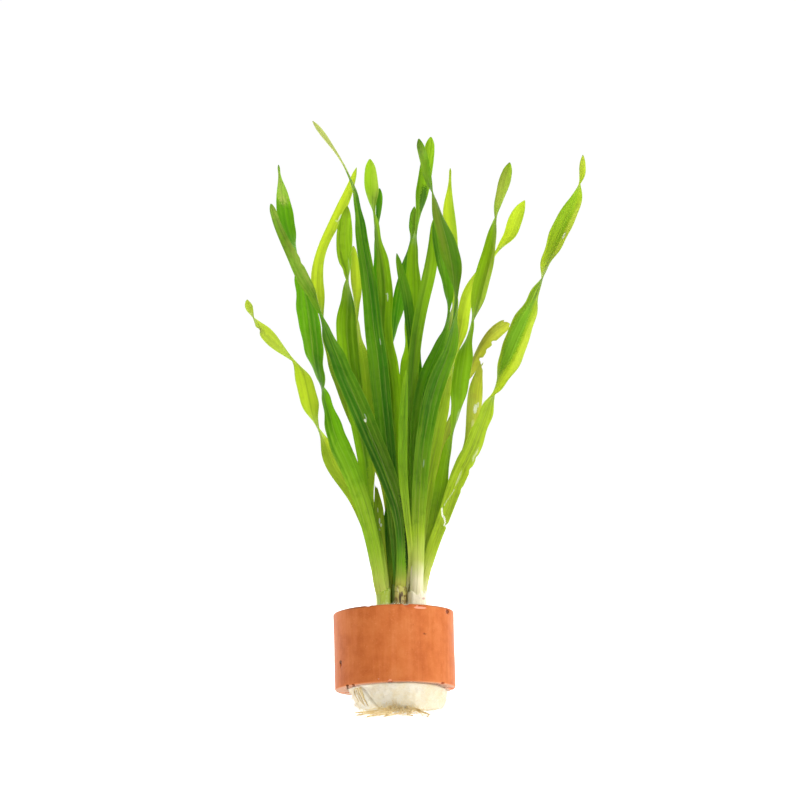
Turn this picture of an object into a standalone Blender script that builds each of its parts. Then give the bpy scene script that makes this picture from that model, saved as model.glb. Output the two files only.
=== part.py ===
"""A potted vallisneria: three plantlets of twisted ribbon leaves, wrapped in fleece and held in a clay ring.

The object stands on the flattened underside of the fleece. The origin is the middle of that foot,
+Z is up and the front of the plant looks along -Y. Sizes are in metres, except the leaf and root
routes and the plantlets' places, which are in millimetres and are scaled by MM where they are used.
"""

import math
from collections import namedtuple

import bmesh
import bpy
from mathutils import Matrix, Vector

MM = 0.001
CLEARANCE = 0.00035

# The clay ring leans back a little on the soft fleece that sticks out under it.
RING_RADIUS = 0.0175
RING_WALL = 0.004
RING_HEIGHT = 0.0225
RING_CHAMFER = 0.0005
RING_STEPS = 48
RING_LIFT = 0.0053
RING_LEAN = math.radians(11)
RING_TWIST = math.radians(1.5)
RING_FRAME = (
    Matrix.Translation((0, 0, RING_LIFT))
    @ Matrix.Rotation(-RING_LEAN, 4, "X")
    @ Matrix.Rotation(-RING_TWIST, 4, "Y")
)

# The fleece fills the ring, bulges out under it and rises to a low collar round the plantlets.
FLEECE_RADIUS = RING_RADIUS - RING_WALL - CLEARANCE
FLEECE_BULGE = 0.0142
FLEECE_COLLAR = 0.0028
FLEECE_FOOT = 0.0098
FLEECE_STEPS = 48
ROOT_POCKET_HALF = (0.0096, 0.0066)
ROOT_POCKET_MIDDLE = 0.0016
ROOT_POCKET_FLOOR = 0.0030
ROOT_SLOT_HALF = (0.0066, 0.0021)
ROOT_SLOT_MIDDLE = (0.0008, 0.0035)

# A plantlet is one rosette: its crown stands in the fleece, and its leaves stand on the crown.
CROWN_BOTTOM = 0.0145
CROWN_TOP = 0.0306
LEAF_FOOT = 31.1
LEAF_PITCH = 0.9
Plantlet = namedtuple("Plantlet", "middle half_width half_depth")
PLANTLETS = {
    "left": Plantlet(-3.4, 2.1, 3.4),
    "middle": Plantlet(1.15, 2.0, 4.8),
    "right": Plantlet(6.15, 2.5, 5.0),
}

# A leaf's route is read off its front view, from an eye at EYE_HEIGHT and EYE_DISTANCE, as rows of
# (across, height, seen width) from foot to tip. The seen width is 0 where the leaf turns edge-on.
# Order is its place in the plantlet from front to back, and reach how far behind the middle of the
# object its tip is. Hand is 1 if its right edge goes to the back at its first turn, and -1 if its left does.
EYE_DISTANCE = 1.3
EYE_HEIGHT = 0.0893
LEAF_THICKNESS = 0.0005
LEAF_TIP_ROUND = 0.0025
LEAF_TIP_WIDTH = 0.0007
REACH_POWER = 1.15
STEPS_BELOW_TURNS = 9
STEPS_BETWEEN_TURNS = 6
STEPS_TO_TIP = 7
Leaf = namedtuple("Leaf", "order reach hand route")
LEAVES = {
    "left": [
        Leaf(0, -13, 1, (
            (-4.5, 35, 3.5), (-5.2, 40, 3.7), (-7.1, 50, 4.2), (-9.8, 60, 4.9), (-13.4, 70, 5.6),
            (-15.7, 75, 5.9), (-17.8, 80, 5), (-19.1, 85, 3.9), (-20.4, 89, 2.4), (-21.1, 93, 0),
            (-22.4, 97, 2.8), (-23.7, 103, 5.1), (-25, 112, 6.2), (-25.9, 117, 5.4), (-26.9, 122, 3.8),
            (-27.9, 127, 1.6), (-28.8, 131.5, 0), (-29.7, 135, 2.3), (-31.4, 140, 4.6),
            (-31.9, 143, 4.9), (-32.6, 147, 4), (-32.9, 150, 3.1), (-33.5, 153.5, 0.9),
            (-33.9, 157.5, 0.5))),
        Leaf(1, -4, -1, (
            (-4, 40, 3.3), (-5.1, 50, 3.2), (-6.7, 60, 3.4), (-8.4, 70, 3.7), (-10.2, 79, 4.2),
            (-11.5, 87, 4.9), (-12.6, 95, 5.6), (-13.4, 101, 5.9), (-14.1, 108, 6), (-14.2, 113, 5.5),
            (-13.7, 118, 4.2), (-13.8, 121, 2.6), (-14, 123.7, 0), (-14, 127, 2.5), (-14.5, 130.5, 3.6),
            (-14.8, 136.5, 4.7), (-14.6, 140, 4.2), (-14.2, 143, 2.6), (-13.9, 145.5, 1.4))),
        Leaf(2, 3.6, 1, (
            (-3.5, 38, 3.1), (-4.2, 45, 3.1), (-4.6, 50, 3.2), (-4.9, 55, 3.2), (-5.2, 60, 2.5),
            (-5.3, 64, 1.7), (-5.2, 67.5, 0.9))),
        Leaf(3, 9, 1, (
            (-4, 40, 3.4), (-5.3, 50, 3.6), (-6.5, 60, 3.8), (-7.3, 68, 4), (-7.8, 77, 4.3),
            (-8.2, 86, 4.6), (-8.6, 94, 4.6), (-9.4, 101, 3.3), (-10.5, 107, 1.5), (-11.3, 113, 0),
            (-11.2, 117, 1.6), (-11.2, 120, 2.7), (-11.6, 125, 2.9), (-11.9, 130, 2.3),
            (-12.2, 134, 1.4))),
        Leaf(4, 24, 1, (
            (-4.1, 35, 3.2), (-4.6, 40, 3.4), (-7.1, 50, 3.8), (-11, 60, 4.4), (-14.1, 65, 4.8),
            (-17.6, 70, 5), (-19.7, 75, 4.3), (-20.9, 78, 2.4), (-22.1, 80.6, 0), (-22.9, 82.5, 1.5),
            (-24.1, 85.5, 3.5), (-25.3, 90, 5.2), (-26.5, 95, 4.8), (-27.9, 98.5, 2.4),
            (-30, 101.3, 0), (-32, 103.2, 2), (-34.4, 105.4, 3.6), (-37, 108, 3.9), (-39.5, 110.7, 2.8),
            (-41.2, 113.3, 0), (-42, 115, 1.7), (-42.8, 116.8, 2.5), (-43, 118.4, 1.8))),
    ],
    "middle": [
        Leaf(0, -15, 1, (
            (3, 36, 1.6), (3.5, 41, 1.6), (3.3, 48, 2), (2.5, 57, 2.8), (2.1, 68, 3), (2.2, 80, 2.8),
            (2.5, 89, 2.2), (2.8, 94, 1.6), (3.1, 98, 0.8))),
        Leaf(1, -21, -1, (
            (1.8, 40, 3.2), (1.9, 50, 3.6), (0.8, 58, 4.4), (-1.4, 65, 5), (-4.1, 72, 5.4),
            (-7.3, 79.5, 5.7), (-10.5, 87, 6), (-14, 95, 5.4), (-17.2, 103, 4.4), (-19.6, 109, 2.6),
            (-21.9, 114.8, 0), (-23.6, 119, 2.3), (-25.2, 122, 3.2), (-27.5, 126, 3.7),
            (-29.3, 130, 3.4), (-32, 135.2, 2.6), (-34.3, 140.4, 2.2), (-36.1, 146.2, 1.7))),
        Leaf(2, -13, 1, (
            (1, 40, 3.6), (0.3, 50, 3.9), (-0.7, 60, 4.3), (-1.8, 70, 4.7), (-3, 81, 5.1),
            (-4.2, 92, 5.5), (-5.1, 101, 5.7), (-6.3, 110, 5.5), (-7.3, 120, 4.7), (-8.6, 129, 4.4),
            (-9.6, 135, 3.8), (-10.4, 141, 2.8), (-11.2, 146, 1.7), (-12.2, 151, 0.8), (-15, 157.6, 0),
            (-18.6, 163, 0.6), (-21, 166.4, 1.5), (-22.8, 168.7, 1.4), (-24, 170.2, 1))),
        Leaf(3, -6, -1, (
            (2.2, 42, 3.2), (3.2, 53, 3.2), (4.4, 64, 3.4), (5.4, 75, 3.6), (6, 85, 3.8),
            (6.2, 94, 3.8), (5.7, 101, 3.5), (5, 107, 3.2), (4.2, 113, 3), (3.4, 119, 2.9),
            (2.2, 124, 2.6), (1.2, 128, 1.9), (0.4, 131.8, 0.9))),
        Leaf(4, 0, -1, (
            (2, 42, 3.4), (3, 53, 3.6), (3.8, 64, 3.9), (4.4, 75, 4.1), (4.7, 85, 4.3), (5, 95, 4.5),
            (5.2, 105, 4.7), (5.3, 113, 4.8), (5.2, 120, 4.8), (5.2, 126, 4.2), (5.3, 131, 3),
            (5.6, 136, 1.3), (6.2, 139.7, 0), (6.9, 144, 2.1), (7.6, 148, 3.1), (8.3, 152.5, 3.8),
            (9, 157, 3.8), (9.8, 161.5, 3.2), (10.3, 165.6, 1.9))),
        Leaf(5, 8, 1, (
            (1, 42, 3.4), (0.7, 52, 3.6), (0.4, 62, 3.9), (0.2, 72, 4.2), (0, 82, 4.4), (-0.6, 92, 4.6),
            (-1.3, 101, 4.8), (-2, 110, 4.8), (-2.5, 118, 4.6), (-3.3, 125, 4.2), (-4.2, 131, 3.1),
            (-5.1, 136, 1.9), (-5.8, 141, 0.9), (-6.2, 144, 0), (-6.6, 147, 2.4), (-7, 151.5, 4.1),
            (-7.2, 155, 3.7), (-7.4, 159.2, 1.9))),
        Leaf(6, 14, -1, (
            (0.6, 42, 3.4), (-0.2, 53, 3.6), (-1.2, 64, 3.8), (-2.2, 75, 4), (-2.9, 85, 4.2),
            (-3.3, 95, 4.3), (-3.7, 105, 4.3), (-4.2, 115, 4), (-4.7, 123, 3.3), (-5.1, 129, 2.4),
            (-5.3, 134, 1.4), (-5.2, 140, 0), (-4.8, 144, 1.6), (-4.6, 148, 1.9), (-4.6, 150.7, 1.3))),
        Leaf(7, 20, 1, (
            (1.3, 36, 3.6), (1, 41, 4), (0.3, 46, 4.3), (-0.4, 51, 4.4), (-1.2, 57, 4.4),
            (-2.3, 62, 4.2), (-4, 67, 4.3), (-6.7, 73, 4.6), (-9.6, 80, 5), (-12.4, 87, 5.2),
            (-15.2, 94, 4.9), (-17.7, 100, 4.1), (-19.6, 105.5, 2.8), (-20.7, 110, 1.5),
            (-21.3, 113.5, 0), (-21.9, 117, 2.9), (-22.6, 121, 3.6), (-22.8, 125, 3.7), (-22.2, 130, 3),
            (-20.6, 135, 2.8), (-18.1, 140, 3.1), (-15.7, 145, 3.2), (-13.5, 150, 2.5),
            (-12.3, 153.5, 1.7), (-11.3, 156.7, 0.8))),
        Leaf(8, 28, -1, (
            (1.4, 44, 3.2), (1.3, 56, 3.4), (1, 68, 3.5), (0.5, 80, 3.5), (-0.1, 90, 3.2),
            (-0.8, 98, 2.2), (-1.1, 105.3, 0), (-0.4, 110, 2.2), (0.5, 115, 3.5), (1.4, 120, 3.8),
            (2.4, 125, 3.4), (3.5, 130, 2.5), (4.6, 136, 0), (4.9, 139.5, 2.1), (5.1, 142.5, 2.1),
            (5.5, 145.4, 1.3))),
    ],
    "right": [
        Leaf(0, -24, 1, (
            (6.6, 42, 3.5), (6.6, 51, 3.9), (6.9, 60, 4.3), (7.5, 70, 4.6), (8.7, 80, 4.9),
            (10.7, 90, 5.2), (12.6, 96, 5.1), (14.6, 101, 4.6), (15.9, 105, 3.6), (16.9, 110, 2.1),
            (17.6, 118.5, 0), (17.6, 121, 1.3), (17.3, 124, 2.7), (16.8, 127.5, 4.2), (15.5, 133, 5.4),
            (14.3, 137, 4.6), (13.2, 140.5, 3.7), (12.2, 144, 2.4), (11.2, 147.5, 1.1), (10.5, 149.9, 0),
            (9.8, 153, 1.8), (8.9, 157, 2.4), (8, 160.5, 2.5), (7.2, 163, 2.2), (6.8, 165.1, 1.5))),
        Leaf(1, -12, 1, (
            (6.2, 42, 3.6), (6.3, 52, 3.8), (6.4, 63, 4), (6.3, 74, 4.4), (6.9, 84, 4.6), (7.9, 91, 4.7),
            (9.2, 96, 4.6), (10.9, 100.5, 4.3), (12.9, 105, 3.4), (14.4, 109, 2.1), (15.5, 114.5, 0),
            (15.5, 119, 1.9), (14.9, 124, 3.2), (13.7, 130, 3.8), (12.7, 135, 3.6), (11.9, 139, 2.6),
            (11.4, 142, 1.2))),
        Leaf(2, -10, 1, (
            (6.2, 42, 2.8), (5.5, 54, 2.9), (4.9, 66, 3.1), (4.6, 78, 3.2), (4.6, 88, 3.3),
            (5.1, 98, 3.4), (5.9, 106, 3.4), (7, 113, 3.5), (8.2, 119, 3.7), (9.4, 124, 3.8),
            (10.4, 129, 3.6), (10.9, 134, 2.8), (11, 138, 2), (11, 141.6, 1))),
        Leaf(3, -13, 1, (
            (7.6, 35, 3.5), (8.7, 40, 3.4), (10.3, 45, 3.4), (12, 50, 3.5), (14, 55, 3.7), (15.7, 60, 4.1),
            (17.5, 65, 4.7), (19.6, 70, 5.1), (22, 75, 5), (24, 80, 4.6), (25.8, 85, 4.1),
            (27.3, 89, 2.6), (29, 91.8, 0), (30.3, 95, 3.2), (32.3, 99, 5.6), (34.4, 104.5, 6.9),
            (36.6, 110, 6.6), (38.8, 115, 5.1), (40.4, 119, 3.1), (41.5, 122, 1.6), (42.5, 125, 0),
            (43.5, 128, 1.9), (45.3, 132.5, 4), (47.3, 137, 5), (49.3, 141.5, 5.3), (51.5, 146, 4.4),
            (52.9, 149.3, 2.4), (53.6, 152.4, 0), (54.1, 155, 1.6), (54.3, 157.5, 1.8),
            (54.4, 160.4, 1))),
        Leaf(4, -3, 1, (
            (6.6, 42, 3.2), (7.6, 52, 3.3), (9, 61, 3.4), (10.5, 70, 3.5), (12.1, 78, 3.4),
            (13.5, 84, 3.1), (14.4, 88, 2.6), (15.2, 92, 1.9), (16, 96.3, 0.9))),
        Leaf(5, -4, -1, (
            (7.6, 38, 3.4), (9.3, 45, 3.5), (10.8, 52, 3.7), (12.4, 60, 3.9), (13.6, 66, 3.7),
            (14.5, 71, 3), (15.3, 75, 2), (16.7, 80.6, 0), (17.4, 84, 2.2), (18.1, 88, 3.7),
            (18.8, 94, 5), (19.7, 100, 5), (20.8, 105, 3), (21.8, 109, 1.2), (22.4, 111.8, 0),
            (23, 115, 2.2), (24, 120, 4.1), (25.3, 125, 4.6), (26.7, 130, 4.3), (27.7, 134.5, 3.2),
            (28.6, 139, 1.5), (29.1, 142.7, 0), (29.9, 146, 1.9), (31, 150, 3.2), (31.8, 153.2, 3.5),
            (32.6, 156, 2.7), (33.2, 158.2, 1.6))),
        Leaf(6, 7, -1, (
            (8, 40, 3.2), (10.7, 50, 3.3), (13.8, 60, 3.4), (17.2, 69, 3.6), (20, 76, 3.9),
            (21.8, 82, 4.4), (22.7, 88, 4.7), (23.3, 93, 4), (24.2, 97, 2.2), (25.1, 100.3, 0.9))),
        Leaf(7, 15, 1, (
            (7.4, 41, 3.2), (9.6, 51, 3.3), (12.2, 61, 3.4), (14.9, 71, 3.4), (17.4, 80, 3),
            (19.5, 88, 2), (21.2, 94.6, 0), (22.2, 98, 1.7), (23.4, 101.2, 2.6), (25.6, 105, 3.4),
            (27.7, 108, 3.6), (30, 110.8, 3.4), (32.2, 112.9, 2.6))),
        Leaf(8, 24, -1, (
            (6.6, 43, 3.6), (7.2, 54, 3.8), (8, 65, 4), (9.3, 76, 4.1), (11, 86, 4.1), (13, 95, 3.8),
            (14.8, 104, 2.8), (16.1, 111, 1.6), (16.9, 118, 0), (16.8, 124, 2.2), (16.5, 130, 3.6),
            (16.1, 136, 4), (15.7, 141, 3.8), (15.4, 145, 3.3), (15.6, 149, 1.9), (15.8, 152, 0.9),
            (15.9, 156.5, 0.5))),
        Leaf(9, 31, 1, (
            (7, 42, 3.1), (8.4, 52, 3.2), (9.9, 62, 3.3), (11.4, 72, 3.4), (12.9, 81, 3.2),
            (14.5, 89, 2.6), (16.1, 96, 1.6), (17.4, 101.8, 0), (18.4, 105.5, 1.8), (19.3, 110, 3.2),
            (19.9, 115, 3.7), (21.2, 120, 3.5), (24.1, 125, 3.1), (27.3, 129.6, 1.8), (29.6, 132.6, 0),
            (31.7, 134.9, 2.2), (33.4, 137.2, 3.4), (34.8, 140, 3.5), (36.1, 143, 2.9),
            (37.5, 147.2, 1.4))),
    ],
}

# A root grows down from its crown, out through the slot in the fleece and away over the surface.
# Its route is (across, behind, above) from crown to tip.
ROOT_RADIUS = 0.00045
ROOT_STEPS = 4
Root = namedtuple("Root", "plantlet route")
ROOTS = [
    Root("left", ((-3.4, 2.6, 13.6), (-3, 0.5, 7.6), (-2.8, -6, 3.4), (-3, -13, 2.6),
                  (-4, -17, 0.8), (-7, -23, 0.5), (-11.5, -28, 0.5))),
    Root("left", ((-2.2, 3.6, 13.6), (-1.7, 0.6, 7.6), (-1.5, -6, 3.5), (-1.3, -13, 2.7),
                  (-1.6, -17.5, 0.8), (-3.6, -25, 0.5), (-8.5, -32, 0.5), (-11, -38, 0.5))),
    Root("middle", ((0.4, 3.4, 13.6), (-0.3, 0.5, 7.8), (-0.2, -6, 3.4), (0, -13, 2.7),
                    (-0.3, -18, 0.9), (-1.4, -26, 0.5), (-5.2, -34, 0.5), (-8, -43, 0.5))),
    Root("middle", ((1.8, 3.4, 13.6), (1.1, 0.6, 7.8), (1.1, -6, 3.5), (1.3, -13, 2.6),
                    (1.4, -18, 0.8), (1.4, -27, 0.5), (-1.6, -35, 0.5), (-3, -40, 0.5))),
    Root("right", ((4.8, 3, 13.6), (2.9, 0.6, 7.8), (2.5, -6, 3.4), (2.7, -13, 2.7),
                   (3.2, -18, 0.8), (4.4, -26, 0.5), (3.4, -34, 0.5), (5, -39, 0.5))),
    Root("right", ((6.6, 3, 13.6), (4.6, 0.5, 7.8), (3.9, -6, 3.5), (4.2, -13, 2.6),
                   (5.2, -17, 0.8), (7.6, -24, 0.5), (9.4, -33, 0.5), (9, -44, 0.5))),
]

CLAY = ("clay", (0.72, 0.30, 0.12, 1), 0.8)
FLEECE = ("fleece", (0.86, 0.83, 0.70, 1), 0.95)
CROWN = ("crown", (0.74, 0.76, 0.48, 1), 0.6)
LEAF = ("leaf", (0.16, 0.38, 0.03, 1), 0.45)
ROOT = ("root", (0.84, 0.74, 0.44, 1), 0.7)


def clear_scene():
    for obj in list(bpy.data.objects):
        bpy.data.objects.remove(obj)


def new_collection(name):
    collection = bpy.data.collections.new(name)
    bpy.context.scene.collection.children.link(collection)
    return collection


def material(finish):
    """The named finish as a Principled material, made once."""
    name, colour, roughness = finish
    found = bpy.data.materials.get(name)
    if found:
        return found
    made = bpy.data.materials.new(name)
    made.use_nodes = True
    shader = made.node_tree.nodes["Principled BSDF"]
    shader.inputs["Base Color"].default_value = colour
    shader.inputs["Roughness"].default_value = roughness
    shader.inputs["Metallic"].default_value = 0
    return made


def add_object(name, data, finish, collection):
    obj = bpy.data.objects.new(name, data)
    data.materials.append(material(finish))
    collection.objects.link(obj)
    return obj


def mesh_from(bm, name, smooth_angle=None):
    mesh = bpy.data.meshes.new(name)
    bm.to_mesh(mesh)
    bm.free()
    if smooth_angle is not None:
        mesh.shade_smooth()
        mesh.set_sharp_from_angle(angle=smooth_angle)
    return mesh


def turned_mesh(name, profile, steps):
    """A closed ring or disc turned about Z from (radius, height) points that run down its outer side."""
    bm = bmesh.new()
    corners = [bm.verts.new((radius, 0, height)) for radius, height in profile]
    on_axis = profile[0][0] == 0 and profile[-1][0] == 0
    pairs = list(zip(corners, corners[1:]))
    if not on_axis:
        pairs.append((corners[-1], corners[0]))
    for first, second in pairs:
        bm.edges.new((first, second))
    obj = bpy.data.objects.new(name, mesh_from(bm, name))
    bpy.context.scene.collection.objects.link(obj)
    screw = obj.modifiers.new("Turn", "SCREW")
    screw.axis = "Z"
    screw.steps = steps
    screw.render_steps = steps
    screw.use_merge_vertices = True
    screw.merge_threshold = 0.00001
    bpy.context.view_layer.update()
    graph = bpy.context.evaluated_depsgraph_get()
    mesh = bpy.data.meshes.new_from_object(obj.evaluated_get(graph))
    mesh.name = name
    bpy.data.objects.remove(obj)
    return mesh


def make_cutter(name, mesh, collection):
    obj = bpy.data.objects.new(name, mesh)
    collection.objects.link(obj)
    obj.hide_render = True
    obj.display_type = "WIRE"
    return obj


def cut(obj, cutter):
    boolean = obj.modifiers.new("Cut " + cutter.name, "BOOLEAN")
    boolean.operation = "DIFFERENCE"
    boolean.object = cutter
    boolean.solver = "EXACT"


def make_clay_ring(parts):
    """The open clay tube, with a narrow chamfer on each of its four edges."""
    outer, inner = RING_RADIUS, RING_RADIUS - RING_WALL
    top, chamfer = RING_HEIGHT, RING_CHAMFER
    profile = [
        (outer - chamfer, top),
        (outer, top - chamfer),
        (outer, chamfer),
        (outer - chamfer, 0),
        (inner + chamfer, 0),
        (inner, chamfer),
        (inner, top - chamfer),
        (inner + chamfer, top),
    ]
    mesh = turned_mesh("clay_ring", profile, RING_STEPS)
    mesh.shade_smooth()
    mesh.set_sharp_from_angle(angle=math.radians(30))
    ring = add_object("clay_ring", mesh, CLAY, parts)
    ring.matrix_world = RING_FRAME


def fleece_profile():
    """Down the outer side of the fleece, from the collar to well under the foot."""
    bulge_low, bulge_steps = -0.0062, 6
    points = [
        (0, RING_HEIGHT + FLEECE_COLLAR),
        (FLEECE_RADIUS * 0.74, RING_HEIGHT + FLEECE_COLLAR * 0.85),
        (FLEECE_RADIUS * 0.9, RING_HEIGHT + FLEECE_COLLAR * 0.35),
        (FLEECE_RADIUS, RING_HEIGHT - 0.001),
        (FLEECE_RADIUS, -CLEARANCE),
    ]
    for step in range(bulge_steps + 1):
        angle = math.pi / 2 * step / bulge_steps
        swell = FLEECE_FOOT + (FLEECE_BULGE - FLEECE_FOOT) * math.cos(angle)
        points.append((swell, -CLEARANCE - 0.0008 + (bulge_low + 0.001) * math.sin(angle)))
    points.append((FLEECE_FOOT * 0.8, bulge_low - 0.002))
    points.append((0, bulge_low - 0.002))
    return points


def make_fleece(parts, cutters):
    """The fleece strip wound round the roots, cut flat where it stands, with the roots' pocket and slot."""
    mesh = turned_mesh("fleece_wrap", fleece_profile(), FLEECE_STEPS)
    mesh.shade_smooth()
    mesh.set_sharp_from_angle(angle=math.radians(40))
    fleece = add_object("fleece_wrap", mesh, FLEECE, parts)
    fleece.matrix_world = RING_FRAME

    bm = bmesh.new()
    bmesh.ops.create_cube(bm, size=0.06, matrix=Matrix.Translation((0, 0, -0.03)))
    cut(fleece, make_cutter("surface_cutter", mesh_from(bm, "surface_cutter"), cutters))

    depth = RING_HEIGHT + 0.01
    bm = bmesh.new()
    bmesh.ops.create_cone(bm, cap_ends=True, segments=28, radius1=1, radius2=1, depth=depth)
    bmesh.ops.scale(bm, vec=(*ROOT_POCKET_HALF, 1), verts=bm.verts)
    middle = ROOT_POCKET_FLOOR - RING_LIFT + depth / 2
    bmesh.ops.translate(bm, vec=(ROOT_POCKET_MIDDLE, 0, middle), verts=bm.verts)
    pocket = make_cutter("pocket_cutter", mesh_from(bm, "pocket_cutter"), cutters)
    pocket.matrix_world = RING_FRAME
    cut(fleece, pocket)

    length = 0.02
    bm = bmesh.new()
    bmesh.ops.create_cone(bm, cap_ends=True, segments=16, radius1=1, radius2=1, depth=length)
    bmesh.ops.scale(bm, vec=(*ROOT_SLOT_HALF, 1), verts=bm.verts)
    bmesh.ops.rotate(bm, matrix=Matrix.Rotation(math.pi / 2, 3, "X"), verts=bm.verts)
    across, height = ROOT_SLOT_MIDDLE
    bmesh.ops.translate(bm, vec=(across, -length / 2 + 0.002, height), verts=bm.verts)
    cut(fleece, make_cutter("slot_cutter", mesh_from(bm, "slot_cutter"), cutters))


def depth_behind(height):
    """How far behind the front plane the ring's leaning axis is at this height."""
    return (height - RING_LIFT) * math.tan(RING_LEAN)


def make_crown(side, plantlet, parts):
    """The short stem of one plantlet, standing in the fleece with its flat top under the leaves."""
    bm = bmesh.new()
    depth = CROWN_TOP - CROWN_BOTTOM
    bmesh.ops.create_cone(bm, cap_ends=True, segments=16, radius1=0.8, radius2=1, depth=depth)
    scale = (plantlet.half_width * MM, plantlet.half_depth * MM, 1)
    bmesh.ops.scale(bm, vec=scale, verts=bm.verts)
    for vert in bm.verts:
        vert.co.z += (CROWN_TOP + CROWN_BOTTOM) / 2
        vert.co.x += plantlet.middle * MM
        vert.co.y += depth_behind(vert.co.z)
    add_object("crown_" + side, mesh_from(bm, "crown_" + side, math.radians(50)), CROWN, parts)


def smooth_value(knots, at):
    """The value at a place on a smooth curve through (place, value) knots."""
    index = max(i for i, knot in enumerate(knots[:-1]) if knot[0] <= at or i == 0)
    (x0, y0), (x1, y1) = knots[index], knots[index + 1]
    before = knots[index - 1] if index else knots[index]
    after = knots[index + 2] if index + 2 < len(knots) else knots[index + 1]
    slope0 = (y1 - before[1]) / (x1 - before[0])
    slope1 = (after[1] - y0) / (after[0] - x0)
    span = x1 - x0
    t = min(1, max(0, (at - x0) / span))
    return (
        (2 * t**3 - 3 * t**2 + 1) * y0
        + (t**3 - 2 * t**2 + t) * span * slope0
        + (3 * t**2 - 2 * t**3) * y1
        + (t**3 - t**2) * span * slope1
    )


def faces_of(route):
    """The route's rows in groups, from one edge-on row to the next."""
    faces = [[]]
    for row in route:
        if row[2] == 0:
            faces.append([])
        else:
            faces[-1].append(row)
    return faces


def leaf_widths(route):
    """The leaf's true width by height: what is seen where it faces the front, below its first turn
    and above its last one."""
    faces = faces_of(route)
    knots = []
    for face in faces:
        widest = max(range(len(face)), key=lambda index: face[index][2])
        first = 0 if face is faces[0] else widest
        last = len(face) - 1 if face is faces[-1] else widest
        knots += [(height, width) for across, height, width in face[first : last + 1]]
    return knots


def leaf_turns(route, widths):
    """The leaf's angle from facing the front by height, in degrees: how much it has turned to be
    seen that narrow."""
    faces = faces_of(route)
    knots = []
    for number, face in enumerate(faces):
        widest = max(range(len(face)), key=lambda index: face[index][2])
        for index, (across, height, seen) in enumerate(face):
            share = seen / max(smooth_value(widths, height), seen)
            away = math.degrees(math.acos(share))
            if index == widest or (face is faces[0] and index < widest):
                away = 0
            turned = away if index > widest else -away
            knots.append((height, 180 * number + turned))
    edge_on = [row[1] for row in route if row[2] == 0]
    knots += [(height, 180 * number + 90) for number, height in enumerate(edge_on)]
    return sorted(knots)


def leaf_heights(route):
    """Heights of the leaf's cross-sections, closer together towards its tip."""
    tip = route[-1][1]
    heights = [LEAF_FOOT]
    start = LEAF_FOOT
    for row in route:
        if row[2] == 0:
            steps = STEPS_BETWEEN_TURNS if start > LEAF_FOOT else STEPS_BELOW_TURNS
            heights += [start + (row[1] - start) * (i + 1) / steps for i in range(steps)]
            start = row[1]
    steps = STEPS_TO_TIP if start > LEAF_FOOT else STEPS_BELOW_TURNS
    heights += [start + (tip - start) * math.sin(math.pi / 2 * (i + 1) / steps) for i in range(steps)]
    return heights


def leaf_middle(route, reach, foot_depth, height):
    """The leaf's middle at a height in the front view, moved back along the line of sight."""
    across = smooth_value([(row[1], row[0]) for row in route], height) * MM
    share = (height - LEAF_FOOT) / (route[-1][1] - LEAF_FOOT)
    behind = foot_depth + (reach * MM - foot_depth) * share**REACH_POWER
    away = 1 + (behind - foot_depth * (1 - share)) / EYE_DISTANCE
    return Vector((across * away, behind, EYE_HEIGHT + (height * MM - EYE_HEIGHT) * away))


def make_leaf(name, leaf, plantlet, crowd, parts):
    """A twisted ribbon, lofted between its cross-sections and given its thickness."""
    place = (leaf.order - (crowd - 1) / 2) * LEAF_PITCH
    foot_width = 2 * plantlet.half_width * math.sqrt(1 - (place / plantlet.half_depth) ** 2) - 0.2
    route = ((plantlet.middle, LEAF_FOOT, foot_width), *leaf.route)
    foot_depth = depth_behind(CROWN_TOP) + place * MM
    widths = [(LEAF_FOOT, foot_width), *leaf_widths(leaf.route)]
    turns = [(LEAF_FOOT, 0), *leaf_turns(leaf.route, widths)]
    heights = leaf_heights(route)
    middles = [leaf_middle(route, leaf.reach, foot_depth, height) for height in heights]
    bm = bmesh.new()
    rows = []
    for index, (height, middle) in enumerate(zip(heights, middles)):
        ahead = middles[min(index + 1, len(middles) - 1)]
        behind = middles[max(index - 1, 0)]
        along = (ahead - behind).normalized() if index else Vector((0, 0, 1))
        across = along.cross(Vector((0, -1, 0))).normalized()
        back = along.cross(across)
        turn = leaf.hand * math.radians(smooth_value(turns, height))
        width = smooth_value(widths, height) * MM
        left = (route[-1][1] - height) * MM
        if left < LEAF_TIP_ROUND:
            width *= math.sqrt(1 - 0.8 * (1 - left / LEAF_TIP_ROUND) ** 2)
        half = (across * math.cos(turn) + back * math.sin(turn)) * max(width, LEAF_TIP_WIDTH) / 2
        rows.append((bm.verts.new(middle - half), bm.verts.new(middle + half)))
    for (left, right), (next_left, next_right) in zip(rows, rows[1:]):
        bm.faces.new((left, right, next_right, next_left))
    obj = add_object(name, mesh_from(bm, name), LEAF, parts)
    shell = obj.modifiers.new("Thickness", "SOLIDIFY")
    shell.thickness = LEAF_THICKNESS
    shell.offset = 0


def smooth_route(points, steps):
    """Points along a smooth curve through the route's own points."""
    ends = [points[0], *points, points[-1]]
    route = []
    for before, start, end, after in zip(ends, ends[1:], ends[2:], ends[3:]):
        for step in range(steps):
            t = step / steps
            route.append(
                0.5 * (2 * start + (end - before) * t
                       + (2 * before - 5 * start + 4 * end - after) * t**2
                       + (3 * start - before - 3 * end + after) * t**3)
            )
    route.append(points[-1])
    return route


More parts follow.
